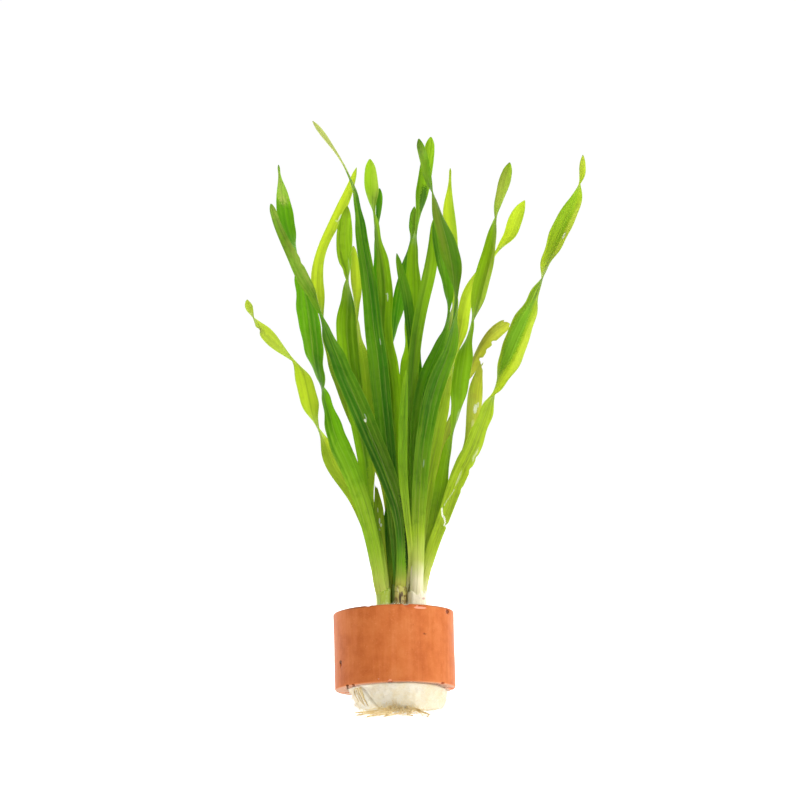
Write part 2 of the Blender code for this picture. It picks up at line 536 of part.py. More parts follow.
def make_root(name, root, parts):
    """A thread-like root, thinner towards its tip."""
    points = smooth_route([Vector(point) * MM for point in root.route], ROOT_STEPS)
    curve = bpy.data.curves.new(name, "CURVE")
    curve.dimensions = "3D"
    curve.bevel_depth = ROOT_RADIUS
    curve.bevel_resolution = 1
    curve.use_fill_caps = True
    spline = curve.splines.new("POLY")
    spline.points.add(len(points) - 1)
    for index, (point, spot) in enumerate(zip(points, spline.points)):
        spot.co = (*point, 1)
        spot.radius = 1 - 0.45 * (index / (len(points) - 1)) ** 2
    add_object(name, curve, ROOT, parts)


def main():
    clear_scene()
    parts = new_collection("potted_vallisneria")
    cutters = new_collection("cutters")
    make_clay_ring(parts)
    make_fleece(parts, cutters)
    for side, plantlet in PLANTLETS.items():
        make_crown(side, plantlet, parts)
        for number, leaf in enumerate(LEAVES[side], 1):
            make_leaf(f"leaf_{side}_{number}", leaf, plantlet, len(LEAVES[side]), parts)
    for number, root in enumerate(ROOTS, 1):
        make_root(f"root_{number}", root, parts)


main()
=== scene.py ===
"""The looks of a potted vallisneria: three plantlets of ribbon leaves in fleece and a clay ring.

The plant stands on its fleece at the origin, +Z is up and its front looks along -Y. The sizes of the ring
and the fleece are in metres. Crowns, leaves, roots, chips and marks are given in millimetres.
"""

import math
import random
from collections import namedtuple

import bmesh
import bpy
from mathutils import Matrix, Vector, noise
from mathutils.bvhtree import BVHTree


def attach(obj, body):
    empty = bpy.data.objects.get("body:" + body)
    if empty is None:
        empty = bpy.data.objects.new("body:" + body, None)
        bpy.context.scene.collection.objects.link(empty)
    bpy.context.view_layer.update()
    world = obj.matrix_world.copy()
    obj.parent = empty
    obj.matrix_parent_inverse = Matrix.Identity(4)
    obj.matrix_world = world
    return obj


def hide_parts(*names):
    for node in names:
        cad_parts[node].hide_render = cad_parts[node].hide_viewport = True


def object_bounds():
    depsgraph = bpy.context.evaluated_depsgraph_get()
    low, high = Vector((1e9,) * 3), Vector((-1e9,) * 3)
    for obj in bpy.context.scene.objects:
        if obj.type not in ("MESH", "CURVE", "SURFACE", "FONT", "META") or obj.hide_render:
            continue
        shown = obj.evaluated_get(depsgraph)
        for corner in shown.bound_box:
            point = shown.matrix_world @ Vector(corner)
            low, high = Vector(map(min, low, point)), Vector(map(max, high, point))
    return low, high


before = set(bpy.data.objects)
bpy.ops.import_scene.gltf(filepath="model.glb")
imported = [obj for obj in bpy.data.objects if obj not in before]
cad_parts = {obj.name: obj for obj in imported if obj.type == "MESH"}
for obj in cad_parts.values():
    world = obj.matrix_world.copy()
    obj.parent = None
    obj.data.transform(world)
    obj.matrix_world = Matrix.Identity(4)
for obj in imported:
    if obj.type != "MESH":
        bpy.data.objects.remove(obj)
cad_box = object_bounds()
MM = 0.001
MM_A_METRE = 1000
BODY = "root"

# Clay ring: an open tube of fired terracotta, pressed and cut to length, so that its side carries faint
# upright drag lines and its rims are chipped. It leans back a little on the soft fleece, as in the CAD.
RING_RADIUS = 0.0175
RING_BORE = 0.0135
RING_HEIGHT = 0.0225
RING_EDGE = 0.0005
RING_LIFT = 0.0053
RING_LEAN = math.radians(11)
RING_TILT = math.radians(1.5)
RING_FRAME = (
    Matrix.Translation((0, 0, RING_LIFT))
    @ Matrix.Rotation(-RING_LEAN, 4, "X")
    @ Matrix.Rotation(-RING_TILT, 4, "Y")
)
RING_TURNS = 400
RING_STEP = 0.0004
# A place where the clay is broken away: how far across and how high it is, its half sizes and its depth.
Chip = namedtuple("Chip", "across height half_width half_height depth")
RING_CHIPS = (
    Chip(15.7, 21.5, 1.1, 1.0, 0.8),
    Chip(-15.6, 6.6, 0.4, 0.7, 0.6),
    Chip(-13.8, 0.1, 0.5, 0.4, 0.4),
    Chip(-12.3, 0.1, 0.7, 0.3, 0.25),
    Chip(7.7, 21.7, 1.9, 0.5, 0.3),
    Chip(3.6, 22.4, 0.9, 0.5, 0.3),
    Chip(8.6, 14.1, 0.5, 0.22, 0.16),
    Chip(9.3, 13.8, 0.5, 0.2, 0.14),
    Chip(-1.5, 0.1, 0.8, 0.6, 0.3),
    Chip(13.9, 0.1, 0.9, 0.4, 0.2),
    Chip(-7.5, 22.4, 0.8, 0.35, 0.2),
)
# Small chips spread over the rims that the photo doesn't show, outside this angle from the front.
HIDDEN_CHIPS = 24
FRONT_ANGLE = 1.6
# A spot of another colour: how far across and how high it is, its half sizes, and how strong.
Mark = namedtuple("Mark", "across height half_width half_height strength colour")


class Wire:
    """One output of a node, with the sums that are written on it."""

    def __init__(self, tree, socket):
        self.tree = tree
        self.socket = socket

    def out(self, name):
        """Another output of the same node."""
        return Wire(self.tree, self.socket.node.outputs[name])

    def maths(self, operation, other=None):
        """A sum of this wire, or of this one and another."""
        return self.tree.add("ShaderNodeMath", {"operation": operation}, {0: self, 1: other})

    def __add__(self, other):
        return self.maths("ADD", other)

    def __sub__(self, other):
        return self.maths("SUBTRACT", other)

    def __rsub__(self, other):
        return self.tree.add("ShaderNodeMath", {"operation": "SUBTRACT"}, {0: other, 1: self})

    def __mul__(self, other):
        return self.maths("MULTIPLY", other)

    def __truediv__(self, other):
        return self.maths("DIVIDE", other)

    def __abs__(self):
        return self.maths("ABSOLUTE")

    __radd__ = __add__
    __rmul__ = __mul__


class Tree:
    """A node tree that is being written."""

    def __init__(self, nodes_of):
        self.tree = nodes_of
        self.tree.nodes.clear()

    def add(self, kind, settings=None, sockets=None, output=0):
        """Any node, by its type, its settings and the values or wires of its sockets."""
        node = self.tree.nodes.new(kind)
        for name, value in (settings or {}).items():
            if name == "stops":
                self.set_stops(node.color_ramp, value)
            else:
                setattr(node, name, value)
        for name, value in (sockets or {}).items():
            if isinstance(value, Wire):
                self.tree.links.new(value.socket, node.inputs[name])
            elif value is not None:
                node.inputs[name].default_value = value
        return Wire(self, node.outputs[output]) if node.outputs else None

    def set_stops(self, ramp, stops):
        """A colour ramp's places and colours, in order of place."""
        while len(ramp.elements) < len(stops):
            ramp.elements.new(0.5)
        for element, (place, colour) in zip(ramp.elements, sorted(stops)):
            element.position = place
            element.color = colour

    def blend(self, share, under, over, how="MIX"):
        """The colour under with the colour over laid on it by share."""
        settings = {"data_type": "RGBA", "blend_type": how}
        return self.add("ShaderNodeMix", settings, {0: share, 6: under, 7: over}, 2)

    def grain(self, where, scale, detail=2, roughness=0.5):
        """Noise from 0 to 1 over a vector."""
        sockets = {"Vector": where, "Scale": scale, "Detail": detail, "Roughness": roughness}
        return self.add("ShaderNodeTexNoise", None, sockets)

    def step(self, value, low, high):
        """0 below low and 1 above high, with a soft step between, or the other way round if low is higher."""
        ends = {"From Min": min(low, high), "From Max": max(low, high)}
        if low > high:
            ends.update({"To Min": 1, "To Max": 0})
        return self.add("ShaderNodeMapRange", {"interpolation_type": "SMOOTHSTEP"}, {"Value": value, **ends})

    def ramp(self, value, *stops):
        """Colours by a value, each at its place from 0 to 1."""
        return self.add("ShaderNodeValToRGB", {"stops": stops}, {"Fac": value})

    def place(self):
        """The place of a point in the piece's own space."""
        return self.add("ShaderNodeTexCoord", output=3)

    def painted(self, name):
        """A value that the mesh carries."""
        return self.add("ShaderNodeAttribute", {"attribute_name": name}, output=2)

    def parts(self, vector):
        """A vector's X; its Y and Z are the other outputs."""
        return self.add("ShaderNodeSeparateXYZ", None, {0: vector})

    def joined(self, x=0, y=0, z=0):
        """A vector from its parts."""
        return self.add("ShaderNodeCombineXYZ", None, {0: x, 1: y, 2: z})

    def stretched(self, where, scale):
        """A vector with each of its parts scaled."""
        return self.add("ShaderNodeVectorMath", {"operation": "MULTIPLY"}, {0: where, 1: scale})

    def relief(self, height, distance):
        """A normal that shows a height as relief."""
        return self.add("ShaderNodeBump", None, {"Height": height, "Distance": distance})

    def surface(self, sockets, light=None, share=0):
        """The material's surface, with a share of light of a colour let through it if one is given."""
        skin = self.add("ShaderNodeBsdfPrincipled", None, sockets)
        if light:
            glow = self.add("ShaderNodeBsdfTranslucent", None, {"Color": light})
            skin = self.add("ShaderNodeMixShader", None, {0: share, 1: skin, 2: glow})
        self.add("ShaderNodeOutputMaterial", None, {"Surface": skin})


def finish_tree(name):
    """A new material and the tree of its nodes."""
    made = bpy.data.materials.new(name)
    made.use_nodes = True
    return made, Tree(made.node_tree)


def colour(red, green, blue):
    """A colour read on a screen, from 0 to 255, as the shader's own."""
    parts = [part / 255 for part in (red, green, blue)]
    return (*[part / 12.92 if part <= 0.04045 else ((part + 0.055) / 1.055) ** 2.4 for part in parts], 1)


def soft_step(low, high, value):
    """0 below low and 1 above high, with a soft step between."""
    share = min(1, max(0, (value - low) / (high - low)))
    return share * share * (3 - 2 * share)


def dress(name, bm, finish, replaced=()):
    """A smooth-shaded piece of the plant from a bmesh, with its finish, slot and the nodes it stands for."""
    bmesh.ops.recalc_face_normals(bm, faces=bm.faces)
    mesh = bpy.data.meshes.new(name)
    bm.to_mesh(mesh)
    bm.free()
    mesh.shade_smooth()
    return dress_mesh(name, mesh, finish, replaced)


def dress_mesh(name, mesh, finish, replaced=()):
    """The same from a finished mesh."""
    mesh.materials.clear()
    mesh.materials.append(finish)
    piece = bpy.data.objects.new(name, mesh)
    bpy.context.scene.collection.objects.link(piece)
    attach(piece, BODY)
    if replaced:
        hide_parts(*replaced)
    return piece


def marked(tree, base, across, height, marks, ragged):
    """A colour with marks laid on it, each an uneven spot at a place given in millimetres, and how strongly
    they show, or None without marks."""
    shown = None
    for mark in marks:
        beside = (across - mark.across) / mark.half_width
        above = (height - mark.height) / mark.half_height
        spot = tree.step(beside * beside + above * above + ragged, 1.25, 0.6)
        base = tree.blend(mark.strength * spot, base, mark.colour)
        shown = mark.strength * spot if shown is None else shown + mark.strength * spot
    return base, shown


def add_walls(bm, lines):
    """Faces between each line of points and the next one."""
    for line, after in zip(lines, lines[1:]):
        for corners in zip(line, after, after[1:], line[1:]):
            bm.faces.new(corners)


def ring_section():
    """Points (radius, height, out, up) down the outer side of the wall and up its bore. Each corner is
    rounded by four points, 30 degrees apart."""
    corners = (
        (RING_RADIUS - RING_EDGE, RING_HEIGHT - RING_EDGE, 90),
        (RING_RADIUS - RING_EDGE, RING_EDGE, 0),
        (RING_BORE + RING_EDGE, RING_EDGE, -90),
        (RING_BORE + RING_EDGE, RING_HEIGHT - RING_EDGE, -180),
    )
    section = []
    for number, (radius, height, start) in enumerate(corners):
        for step in range(4):
            angle = math.radians(start - 30 * step)
            out, up = math.cos(angle), math.sin(angle)
            section.append((radius + RING_EDGE * out, height + RING_EDGE * up, out, up))
        end_radius, end_height = section[-1][:2]
        next_radius, next_height, next_start = corners[(number + 1) % 4]
        next_radius += RING_EDGE * math.cos(math.radians(next_start))
        next_height += RING_EDGE * math.sin(math.radians(next_start))
        length = math.hypot(next_radius - end_radius, next_height - end_height)
        steps = round(length / RING_STEP)
        for step in range(1, steps):
            share = step / steps
            section.append((
                end_radius + (next_radius - end_radius) * share,
                end_height + (next_height - end_height) * share, out, up,
            ))
    return section


def ring_chips():
    """The chips seen in front, and small ones spread over both rims elsewhere."""
    draw = random.Random(11)
    chips = [(math.asin(chip.across * MM / RING_RADIUS), chip) for chip in RING_CHIPS]
    for number in range(HIDDEN_CHIPS):
        height = RING_HEIGHT / MM if number % 2 else 0
        half_width, half_height = draw.uniform(0.4, 1.5), draw.uniform(0.2, 0.6)
        angle = draw.uniform(FRONT_ANGLE, 2 * math.pi - FRONT_ANGLE)
        chips.append((angle, Chip(0, height, half_width, half_height, draw.uniform(0.1, 0.35))))
    return chips


def way_round(turn, turns):
    """The angle of one of the turns round the axis, from the front, and the way that it faces."""
    angle = 2 * math.pi * turn / turns
    return angle, Vector((math.sin(angle), -math.cos(angle), 0))


def broken_away(at, radius, height, near):
    """How worn the clay is at a point by the chips near it, and how deep they cut it."""
    worn, cut = 0, 0
    for off, chip in near:
        in_bore = radius < (RING_RADIUS + RING_BORE) / 2
        if in_bore and chip.across:
            continue
        rise = (height / MM - chip.height) / chip.half_height
        depth = min(1, 1.6 * (1 - off * off - rise * rise + 0.35 * noise.noise(at * 1900)))
        if depth > 0:
            worn = max(worn, depth)
            cut += chip.depth * MM * depth
    return worn, cut


def make_clay_ring():
    """The wall all round, with its lumps, its drag lines and its chips."""
    section, chips = ring_section(), ring_chips()
    bm = bmesh.new()
    chipped = bm.verts.layers.float.new("chipped")
    rings = []
    for turn in range(RING_TURNS):
        angle, facing = way_round(turn, RING_TURNS)
        near = []
        for middle, chip in chips:
            off = math.remainder(angle - middle, 2 * math.pi) * RING_RADIUS / MM / chip.half_width
            if abs(off) < 1.4:
                near.append((off, chip))
        ring = []
        for radius, height, out, up in section:
            at = facing * radius + Vector((0, 0, height))
            swell = 0.00008 * noise.noise(at * 110)
            swell += 0.000012 * noise.noise(Vector((facing.x * 22, facing.y * 22, height * 60)))
            swell += 0.00001 * noise.noise(at * 900)
            worn, cut = broken_away(at, radius, height, near)
            vert = bm.verts.new(RING_FRAME @ (at + (facing * out + Vector((0, 0, up))) * (swell - cut)))
            vert[chipped] = worn
            ring.append(vert)
        rings.append(ring + ring[:1])
    add_walls(bm, rings + rings[:1])
    return bm


RING_MARKS = (
    Mark(7.7, 21.5, 1.8, 0.35, 0.85, colour(255, 172, 142)),
    Mark(4.3, 21.9, 0.9, 0.5, 0.5, colour(190, 84, 44)),
    Mark(-1.5, 0.5, 0.5, 0.35, 0.8, colour(250, 164, 128)),
    # Painted shade: a dark line along the top rim at the left.
    Mark(-10.5, 22.3, 6.5, 0.3, 0.6, colour(112, 74, 50)),
    Mark(13.6, 22.3, 3.0, 0.25, 0.5, colour(150, 110, 84)),
    Mark(-15.6, 7.4, 0.35, 0.6, 0.9, colour(96, 50, 18)),
    Mark(-13.8, 0.2, 0.4, 0.3, 0.9, colour(84, 44, 18)),
    Mark(-12.0, 0.1, 0.4, 0.3, 0.7, colour(104, 62, 30)),
    Mark(15.6, 21.4, 0.5, 0.6, 0.75, colour(86, 40, 16)),
    Mark(8.9, 14.0, 0.7, 0.16, 0.55, colour(160, 92, 52)),
)


def make_clay():
    """Smooth orange clay with drag lines and dust in its pores, raw and pale where chipped, and painted paler
    along its bottom edge and on faces turned down, as light that lifts the shade there.
    """
    finish, tree = finish_tree("terracotta")
    lift = {0: tree.place(), 1: (0, 0, RING_LIFT)}
    standing = tree.add("ShaderNodeVectorMath", {"operation": "SUBTRACT"}, lift)
    upright = tree.add("ShaderNodeMapping", None, {"Vector": standing, "Rotation": (RING_LEAN, RING_TILT, 0)})
    clouds = tree.grain(upright, 190, 3, 0.6)
    drag = tree.grain(tree.stretched(upright, (1, 1, 0.06)), 620, 3, 0.6)
    grit = tree.grain(upright, 2600, 2, 0.7)
    pores = tree.step(tree.grain(upright, 1300, 1, 0.4), 0.22, 0.15)
    worn = tree.painted("chipped")
    facing = tree.add("ShaderNodeNewGeometry", output=1)
    down = tree.step(tree.parts(facing).out(2), -0.55, -0.9)
    base = tree.ramp(
        clouds, (0.3, colour(185, 96, 45)), (0.52, colour(199, 110, 57)), (0.75, colour(208, 123, 69))
    )
    base = tree.blend(0.22 * tree.step(drag, 0.45, 0.7), base, colour(222, 134, 84))
    base = tree.blend(0.16 * tree.step(drag, 0.45, 0.3), base, colour(168, 80, 38))
    base = tree.blend(0.3 * tree.step(grit, 0.58, 0.72), base, colour(228, 148, 100))
    base = tree.blend(0.5 * pores, base, colour(120, 58, 30))
    parts = tree.parts(upright)
    # Painted light: a pale band along the bottom edge lifts the shade of the lower rounding.
    base = tree.blend(0.4 * tree.step(parts.out(2), 0.0005, 0.0001), base, colour(226, 166, 124))
    # Painted light: faces turned down are painted pale against the shade under the ring.
    base = tree.blend(0.8 * down, base, colour(204, 166, 146))
    broken = tree.ramp(
        tree.grain(upright, 700, 2),
        (0.35, colour(120, 56, 28)), (0.5, colour(196, 100, 60)), (0.62, colour(240, 158, 124)),
    )
    base = tree.blend(tree.step(worn, 0.1, 0.55), base, broken)
    behind = 900 * tree.step(parts.out(1), -0.003, 0.001)
    ragged = 1.1 * tree.grain(upright, 1500, 2) - 0.55 + behind
    across, height = parts * MM_A_METRE, parts.out(2) * MM_A_METRE
    base, shown = marked(tree, base, across, height, RING_MARKS, ragged)
    rough = 0.42 + 0.14 * clouds + 0.4 * worn + 0.3 * down
    relief = tree.relief(0.15 * drag + 0.3 * grit - 0.7 * pores, 0.00007)
    tree.surface(
        {"Base Color": base, "Roughness": rough, "Specular IOR Level": 0.35, "IOR": 1.22, "Normal": relief}
    )
    return finish


dress("clay_ring_fired", make_clay_ring(), make_clay(), ["clay_ring"])

# Fleece: a strip of cream root wool wound round the roots and pushed into the ring. It bulges out under
# the ring, its outer end shows as a slanting edge at the left, and it is pressed flat where it stands.
FLEECE_RADIUS = 0.01305
FLEECE_BULGE = 0.0136
FLEECE_FOOT = 0.0098
FLEECE_LOW = -0.0062
FLEECE_STEP = 0.00035
FLEECE_TURNS = 300
STRIP_THICKNESS = 0.0021
SEAM_ANGLE = math.radians(-44)
SEAM_SLANT = math.radians(2.5)
# The hollow that the roots come out of, in the front view and in millimetres, and its depth.
MOUTH_MIDDLE = (1.1, -0.3)
MOUTH_HALF = (4.4, 1.3)
MOUTH_DEPTH = 0.0005
# How far down it shows in the ring's mouth, how far it may press out above the ring's lower rim, and the
# radius inside which its lumps fade.
FLEECE_SHOWN = 0.0016
FLEECE_PRESS = 0.0002
FLEECE_CALM = 0.004
FLOOR_GAP = 0.00002
HAIRS_A_SQUARE_METRE = 2.0e6


def fleece_section():
    """Points (radius, height) from the collar's middle down the outer side to under the foot."""
    corners = [
        (0, RING_HEIGHT + 0.0012),
        (FLEECE_RADIUS * 0.5, RING_HEIGHT + 0.0009),
        (FLEECE_RADIUS * 0.78, RING_HEIGHT + 0.0002),
        (FLEECE_RADIUS * 0.93, RING_HEIGHT - 0.0008),
        (FLEECE_RADIUS, RING_HEIGHT - 0.0022),
        (FLEECE_RADIUS, 0.0004),
        (FLEECE_RADIUS + 0.0003, -0.00002),
    ]
    for step in range(13):
        angle = math.pi / 2 * step / 12
        swell = FLEECE_FOOT + (FLEECE_BULGE - FLEECE_FOOT) * max(0, math.cos(angle)) ** 0.6
        corners.append((swell, -0.0001 + (FLEECE_LOW + 0.0001) * math.sin(angle)))
    corners += [(FLEECE_FOOT * 0.8, FLEECE_LOW - 0.002), (0, FLEECE_LOW - 0.002)]
    section = [corners[0]]
    for (radius, height), (next_radius, next_height) in zip(corners, corners[1:]):
        steps = max(1, round(math.hypot(next_radius - radius, next_height - height) / FLEECE_STEP))
        for step in range(1, steps + 1):
            share = step / steps
            section.append((radius + (next_radius - radius) * share, height + (next_height - height) * share))
    return section


def fleece_bulge(angle, at):
    """How far the fleece stands out at a point of the ring's own frame: its lumps, its overlap and edge."""
    lump = 0.00045 * noise.noise(at * 210) + 0.0002 * noise.noise(at * 620) + 0.0001 * noise.noise(at * 1700)
    below = soft_step(0.0004, -0.0006, at.z)
    seam = SEAM_ANGLE - SEAM_SLANT * (at.z / MM)
    off = math.remainder(angle - seam, 2 * math.pi) * FLEECE_BULGE / MM
    layer = 0.0005 * soft_step(0.1, -0.4, off)
    fades = soft_step(-14, -2, off)
    groove = -0.0005 * math.exp(-((off - 0.25) / 0.25) ** 2)
    return lump + below * (layer * fades + groove)


def fleece_form(facing, radius, height):
    """A point of the fleece in the ring's own frame: wide and low in front where the roots push it out,
    shifted to the right under the ring, and drawn up at the right of the ring's mouth."""
    at = facing * radius + Vector((0, 0, height))
    if height < 0:
        ahead = max(0, -facing.y)
        spread = 0.0030 * ahead**1.5
        at += facing * spread * soft_step(-0.0072, -0.0052, height) * soft_step(0.0003, 0.0001, height)
        at.x += 0.0012 * soft_step(0, -0.001, height)
        at.x += 0.0012 * max(0, -facing.x) * soft_step(-0.0012, -0.0062, height)
        at.z += 0.4 * ahead * min(0, height + 0.0006)
    elif height > RING_HEIGHT - 0.002:
        at.z += 0.0007 * max(0, facing.x) * radius / FLEECE_RADIUS
    return at


def mouth_share(spot, at):
    """How far a point of the fleece lies in the hollow that the roots come out of, from 0 to 1."""
    if spot.y >= 0 or spot.z >= 0.0055:
        return 0.0
    across = (spot.x / MM - MOUTH_MIDDLE[0]) / MOUTH_HALF[0]
    rise = (spot.z / MM - MOUTH_MIDDLE[1]) / MOUTH_HALF[1]
    return 1 - soft_step(0.5, 1.1, math.hypot(across, rise) + 0.16 * noise.noise(at * 900))


def underside(spot, angle, radius):
    """The height of the pressed underside at a point, with the groove between the strip's turns."""
    turns = math.hypot(spot.x, spot.y) / STRIP_THICKNESS + angle / (2 * math.pi)
    groove = max(0, math.cos(2 * math.pi * turns)) ** 6
    return FLOOR_GAP + 0.0007 * groove * soft_step(0.001, 0.003, radius)


def make_fleece():
    """One closed skin from the collar to the pressed underside, with lumps, an overlap and the hollow."""
    section = fleece_section()
    bm = bmesh.new()
    hollow = bm.verts.layers.float.new("hollow")
    columns = []
    for turn in range(FLEECE_TURNS):
        angle, facing = way_round(turn, FLEECE_TURNS)
        column = []
        for radius, height in section:
            at = fleece_form(facing, radius, height)
            out = facing if 0.0003 < RING_HEIGHT - height else Vector((facing.x * 0.4, facing.y * 0.4, 1))
            reach = fleece_bulge(angle, at) * min(1, radius / FLEECE_CALM)
            if 0 < height < RING_HEIGHT - FLEECE_SHOWN:
                reach = min(reach, FLEECE_PRESS)
            spot = RING_FRAME @ (at + out * reach)
            dark = mouth_share(spot, at)
            spot -= Vector((spot.x * 0.2, spot.y, 0)).normalized() * MOUTH_DEPTH * dark
            spot.z = max(spot.z, underside(spot, angle, radius))
            vert = bm.verts.new(spot)
            # The hollow's share also carries the wool's painted shade.
            vert[hollow] = dark
            column.append(vert)
        columns.append(column)
    add_walls(bm, columns + columns[:1])
    bmesh.ops.remove_doubles(bm, verts=bm.verts, dist=0.000004)
    return bm


def make_wool():
    """Cream fleece: matted fibres at two sizes with darker straw-toned mats, painted shade in the hollow that
    the roots come out of and on its right side, soft sheen.
    """
    finish, tree = finish_tree("root_wool")
    place = tree.place()
    patches = tree.grain(place, 260, 3, 0.6)
    mat = tree.grain(tree.stretched(place, (1, 1, 2.6)), 1300, 4, 0.7)
    fibres = tree.grain(tree.stretched(place, (0.6, 0.6, 3)), 3600, 3, 0.7)
    base = tree.ramp(
        patches, (0.3, colour(245, 233, 200)), (0.5, colour(252, 246, 226)), (0.72, colour(255, 251, 240))
    )
    base = tree.blend(0.4 * tree.step(mat, 0.5, 0.34), base, colour(224, 206, 158))
    base = tree.blend(0.35 * tree.step(fibres, 0.55, 0.7), base, colour(253, 249, 238))
    # Painted shade: the right side, where the key light falls most, is darkened.
    right_side_shade = tree.step(tree.parts(place), 0, 0.012)
    base = tree.blend(0.6 * right_side_shade, base, colour(228, 218, 196), "MULTIPLY")
    # Painted shade: the hollow that the roots come out of is darkened to a straw tone.
    base = tree.blend(0.6 * tree.step(tree.painted("hollow"), 0.35, 1), base, colour(232, 212, 160))
    relief = tree.relief(0.7 * mat + 0.45 * fibres, 0.00022)
    tree.surface(
        {"Base Color": base, "Roughness": 0.85 + 0.12 * patches, "Normal": relief, "Sheen Weight": 0.35,
         "Sheen Roughness": 0.5, "Specular IOR Level": 0.2}
    )
    return finish


def plain_mesh_of(carrier, name):
    """What a carrier's modifiers make of it, as a plain mesh; the carrier goes."""
    bpy.context.view_layer.update()
    graph = bpy.context.evaluated_depsgraph_get()
    mesh = bpy.data.meshes.new_from_object(carrier.evaluated_get(graph))
    mesh.name = name
    for modifier in list(carrier.modifiers):
        carrier.modifiers.remove(modifier)
    bpy.data.objects.remove(carrier)
    return mesh


def fuzz_tree(name, finish):
    """Geometry Nodes that scatter bent hairs over a surface, lying along it at random tilts."""
    group = bpy.data.node_groups.new(name, "GeometryNodeTree")
    tree = Tree(group)
    face = group.interface
    face.new_socket("Geometry", in_out="INPUT", socket_type="NodeSocketGeometry")
    for label in ("Density", "Length", "Thickness", "Least Tilt", "Most Tilt"):
        face.new_socket(label, in_out="INPUT", socket_type="NodeSocketFloat")
    face.new_socket("Seed", in_out="INPUT", socket_type="NodeSocketInt")
    face.new_socket("Geometry", in_out="OUTPUT", socket_type="NodeSocketGeometry")
    given = tree.add("NodeGroupInput")
    seed = given.out("Seed")
    spread = tree.add(
        "GeometryNodeDistributePointsOnFaces", None,
        {"Mesh": given, "Density": given.out("Density"), "Seed": seed},
    )
    length = given.out("Length")
    bend = tree.joined(0.18 * length, 0.1 * length, 0.55 * length)
    tip = tree.joined(-0.12 * length, 0.3 * length, length)
    hair = tree.add(
        "GeometryNodeCurveQuadraticBezier", None,
        {"Resolution": 4, "Start": (0, 0, 0), "Middle": bend, "End": tip},
    )
    round_wire = tree.add(
        "GeometryNodeCurvePrimitiveCircle", None, {"Resolution": 3, "Radius": given.out("Thickness")}
    )
    strand = tree.add(
        "GeometryNodeCurveToMesh", None, {"Curve": hair, "Profile Curve": round_wire, "Fill Caps": True}
    )
    tilt = tree.add(
        "FunctionNodeRandomValue", {"data_type": "FLOAT"},
        {2: given.out("Least Tilt"), 3: given.out("Most Tilt"), "Seed": seed}, 1,
    )
    heading = tree.add(
        "FunctionNodeRandomValue", {"data_type": "FLOAT"}, {2: 0.0, 3: 2 * math.pi, "Seed": seed + 1}, 1
    )
    leaning = tree.add("FunctionNodeEulerToRotation", None, {0: tree.joined(x=tilt, z=heading)})
    turned = tree.add(
        "FunctionNodeRotateRotation", {"rotation_space": "LOCAL"}, {0: spread.out("Rotation"), 1: leaning}
    )
    size = tree.add(
        "FunctionNodeRandomValue", {"data_type": "FLOAT"}, {2: 0.5, 3: 1.3, "Seed": seed + 2}, 1
    )
    placed = tree.add(
        "GeometryNodeInstanceOnPoints", None,
        {"Points": spread, "Instance": strand, "Rotation": turned, "Scale": size},
    )
    real = tree.add("GeometryNodeRealizeInstances", None, {"Geometry": placed})
    done = tree.add("GeometryNodeSetMaterial", None, {"Geometry": real, "Material": finish})
    tree.add("NodeGroupOutput", None, {"Geometry": done})
    return group


def fuzz_on(name, surface, finish, settings):
    """Hairs scattered over a mesh, as a piece of their own inside the CAD's box."""
    group = fuzz_tree(name + "_tree", finish)
    carrier = bpy.data.objects.new(name + "_carrier", surface)
    bpy.context.scene.collection.objects.link(carrier)
    modifier = carrier.modifiers.new("Fuzz", "NODES")
    modifier.node_group = group
    for item in group.interface.items_tree:
        if item.in_out == "INPUT" and item.name in settings:
            modifier[item.identifier] = settings[item.name]
    mesh = plain_mesh_of(carrier, name)
    for vert in mesh.vertices:
        vert.co.z = max(vert.co.z, FLOOR_GAP)
        vert.co.y = max(vert.co.y, cad_box[0][1] + FLOOR_GAP)
    mesh.shade_smooth()
    return dress_mesh(name, mesh, finish)


def make_fibre():
    """Single wool fibres, cream to white."""
    finish, tree = finish_tree("wool_fibre")
    patches = tree.grain(tree.place(), 420, 2)
    tone = tree.ramp(patches, (0.35, colour(236, 228, 200)), (0.65, colour(253, 251, 243)))
    tree.surface({"Base Color": tone, "Roughness": 0.7, "Sheen Weight": 0.3})
    return finish


fleece = dress("fleece_roll", make_fleece(), make_wool(), ["fleece_wrap"])
fuzz_on(
    "fleece_fibres", fleece.data.copy(), make_fibre(),
    {"Density": HAIRS_A_SQUARE_METRE, "Length": 0.0016, "Thickness": 0.00002, "Least Tilt": 1.0,
     "Most Tilt": 1.62, "Seed": 5},
)

# Crowns: the short blanched stems of the three plantlets, each made of leaf bases that wrap one another.
# They stand in the fleece, and their fluted tops show just above the ring. Sizes are in millimetres.
Plantlet = namedtuple("Plantlet", "middle half_width half_depth")
PLANTLETS = {
    "left": Plantlet(-3.3, 2.25, 3.4),
    "middle": Plantlet(1.15, 2.2, 4.8),
    "right": Plantlet(6.2, 2.85, 5.0),
}
CROWN_BOTTOM = 14.5
CROWN_TOP = 30.6
CROWN_COLLARS = {"left": 35.4, "middle": 36.6, "right": 35.0}
CROWN_TURNS = 72
CROWN_STEPS = 60
CROWN_COLOURS = {
    "left": ((0, colour(196, 208, 104)), (0.35, colour(180, 203, 70)), (1, colour(169, 196, 48))),
    "middle": ((0, colour(178, 152, 98)), (0.4, colour(188, 172, 96)), (1, colour(190, 190, 86))),
    "right": ((0, colour(246, 238, 210)), (0.5, colour(251, 246, 218)), (1, colour(246, 242, 202))),
}
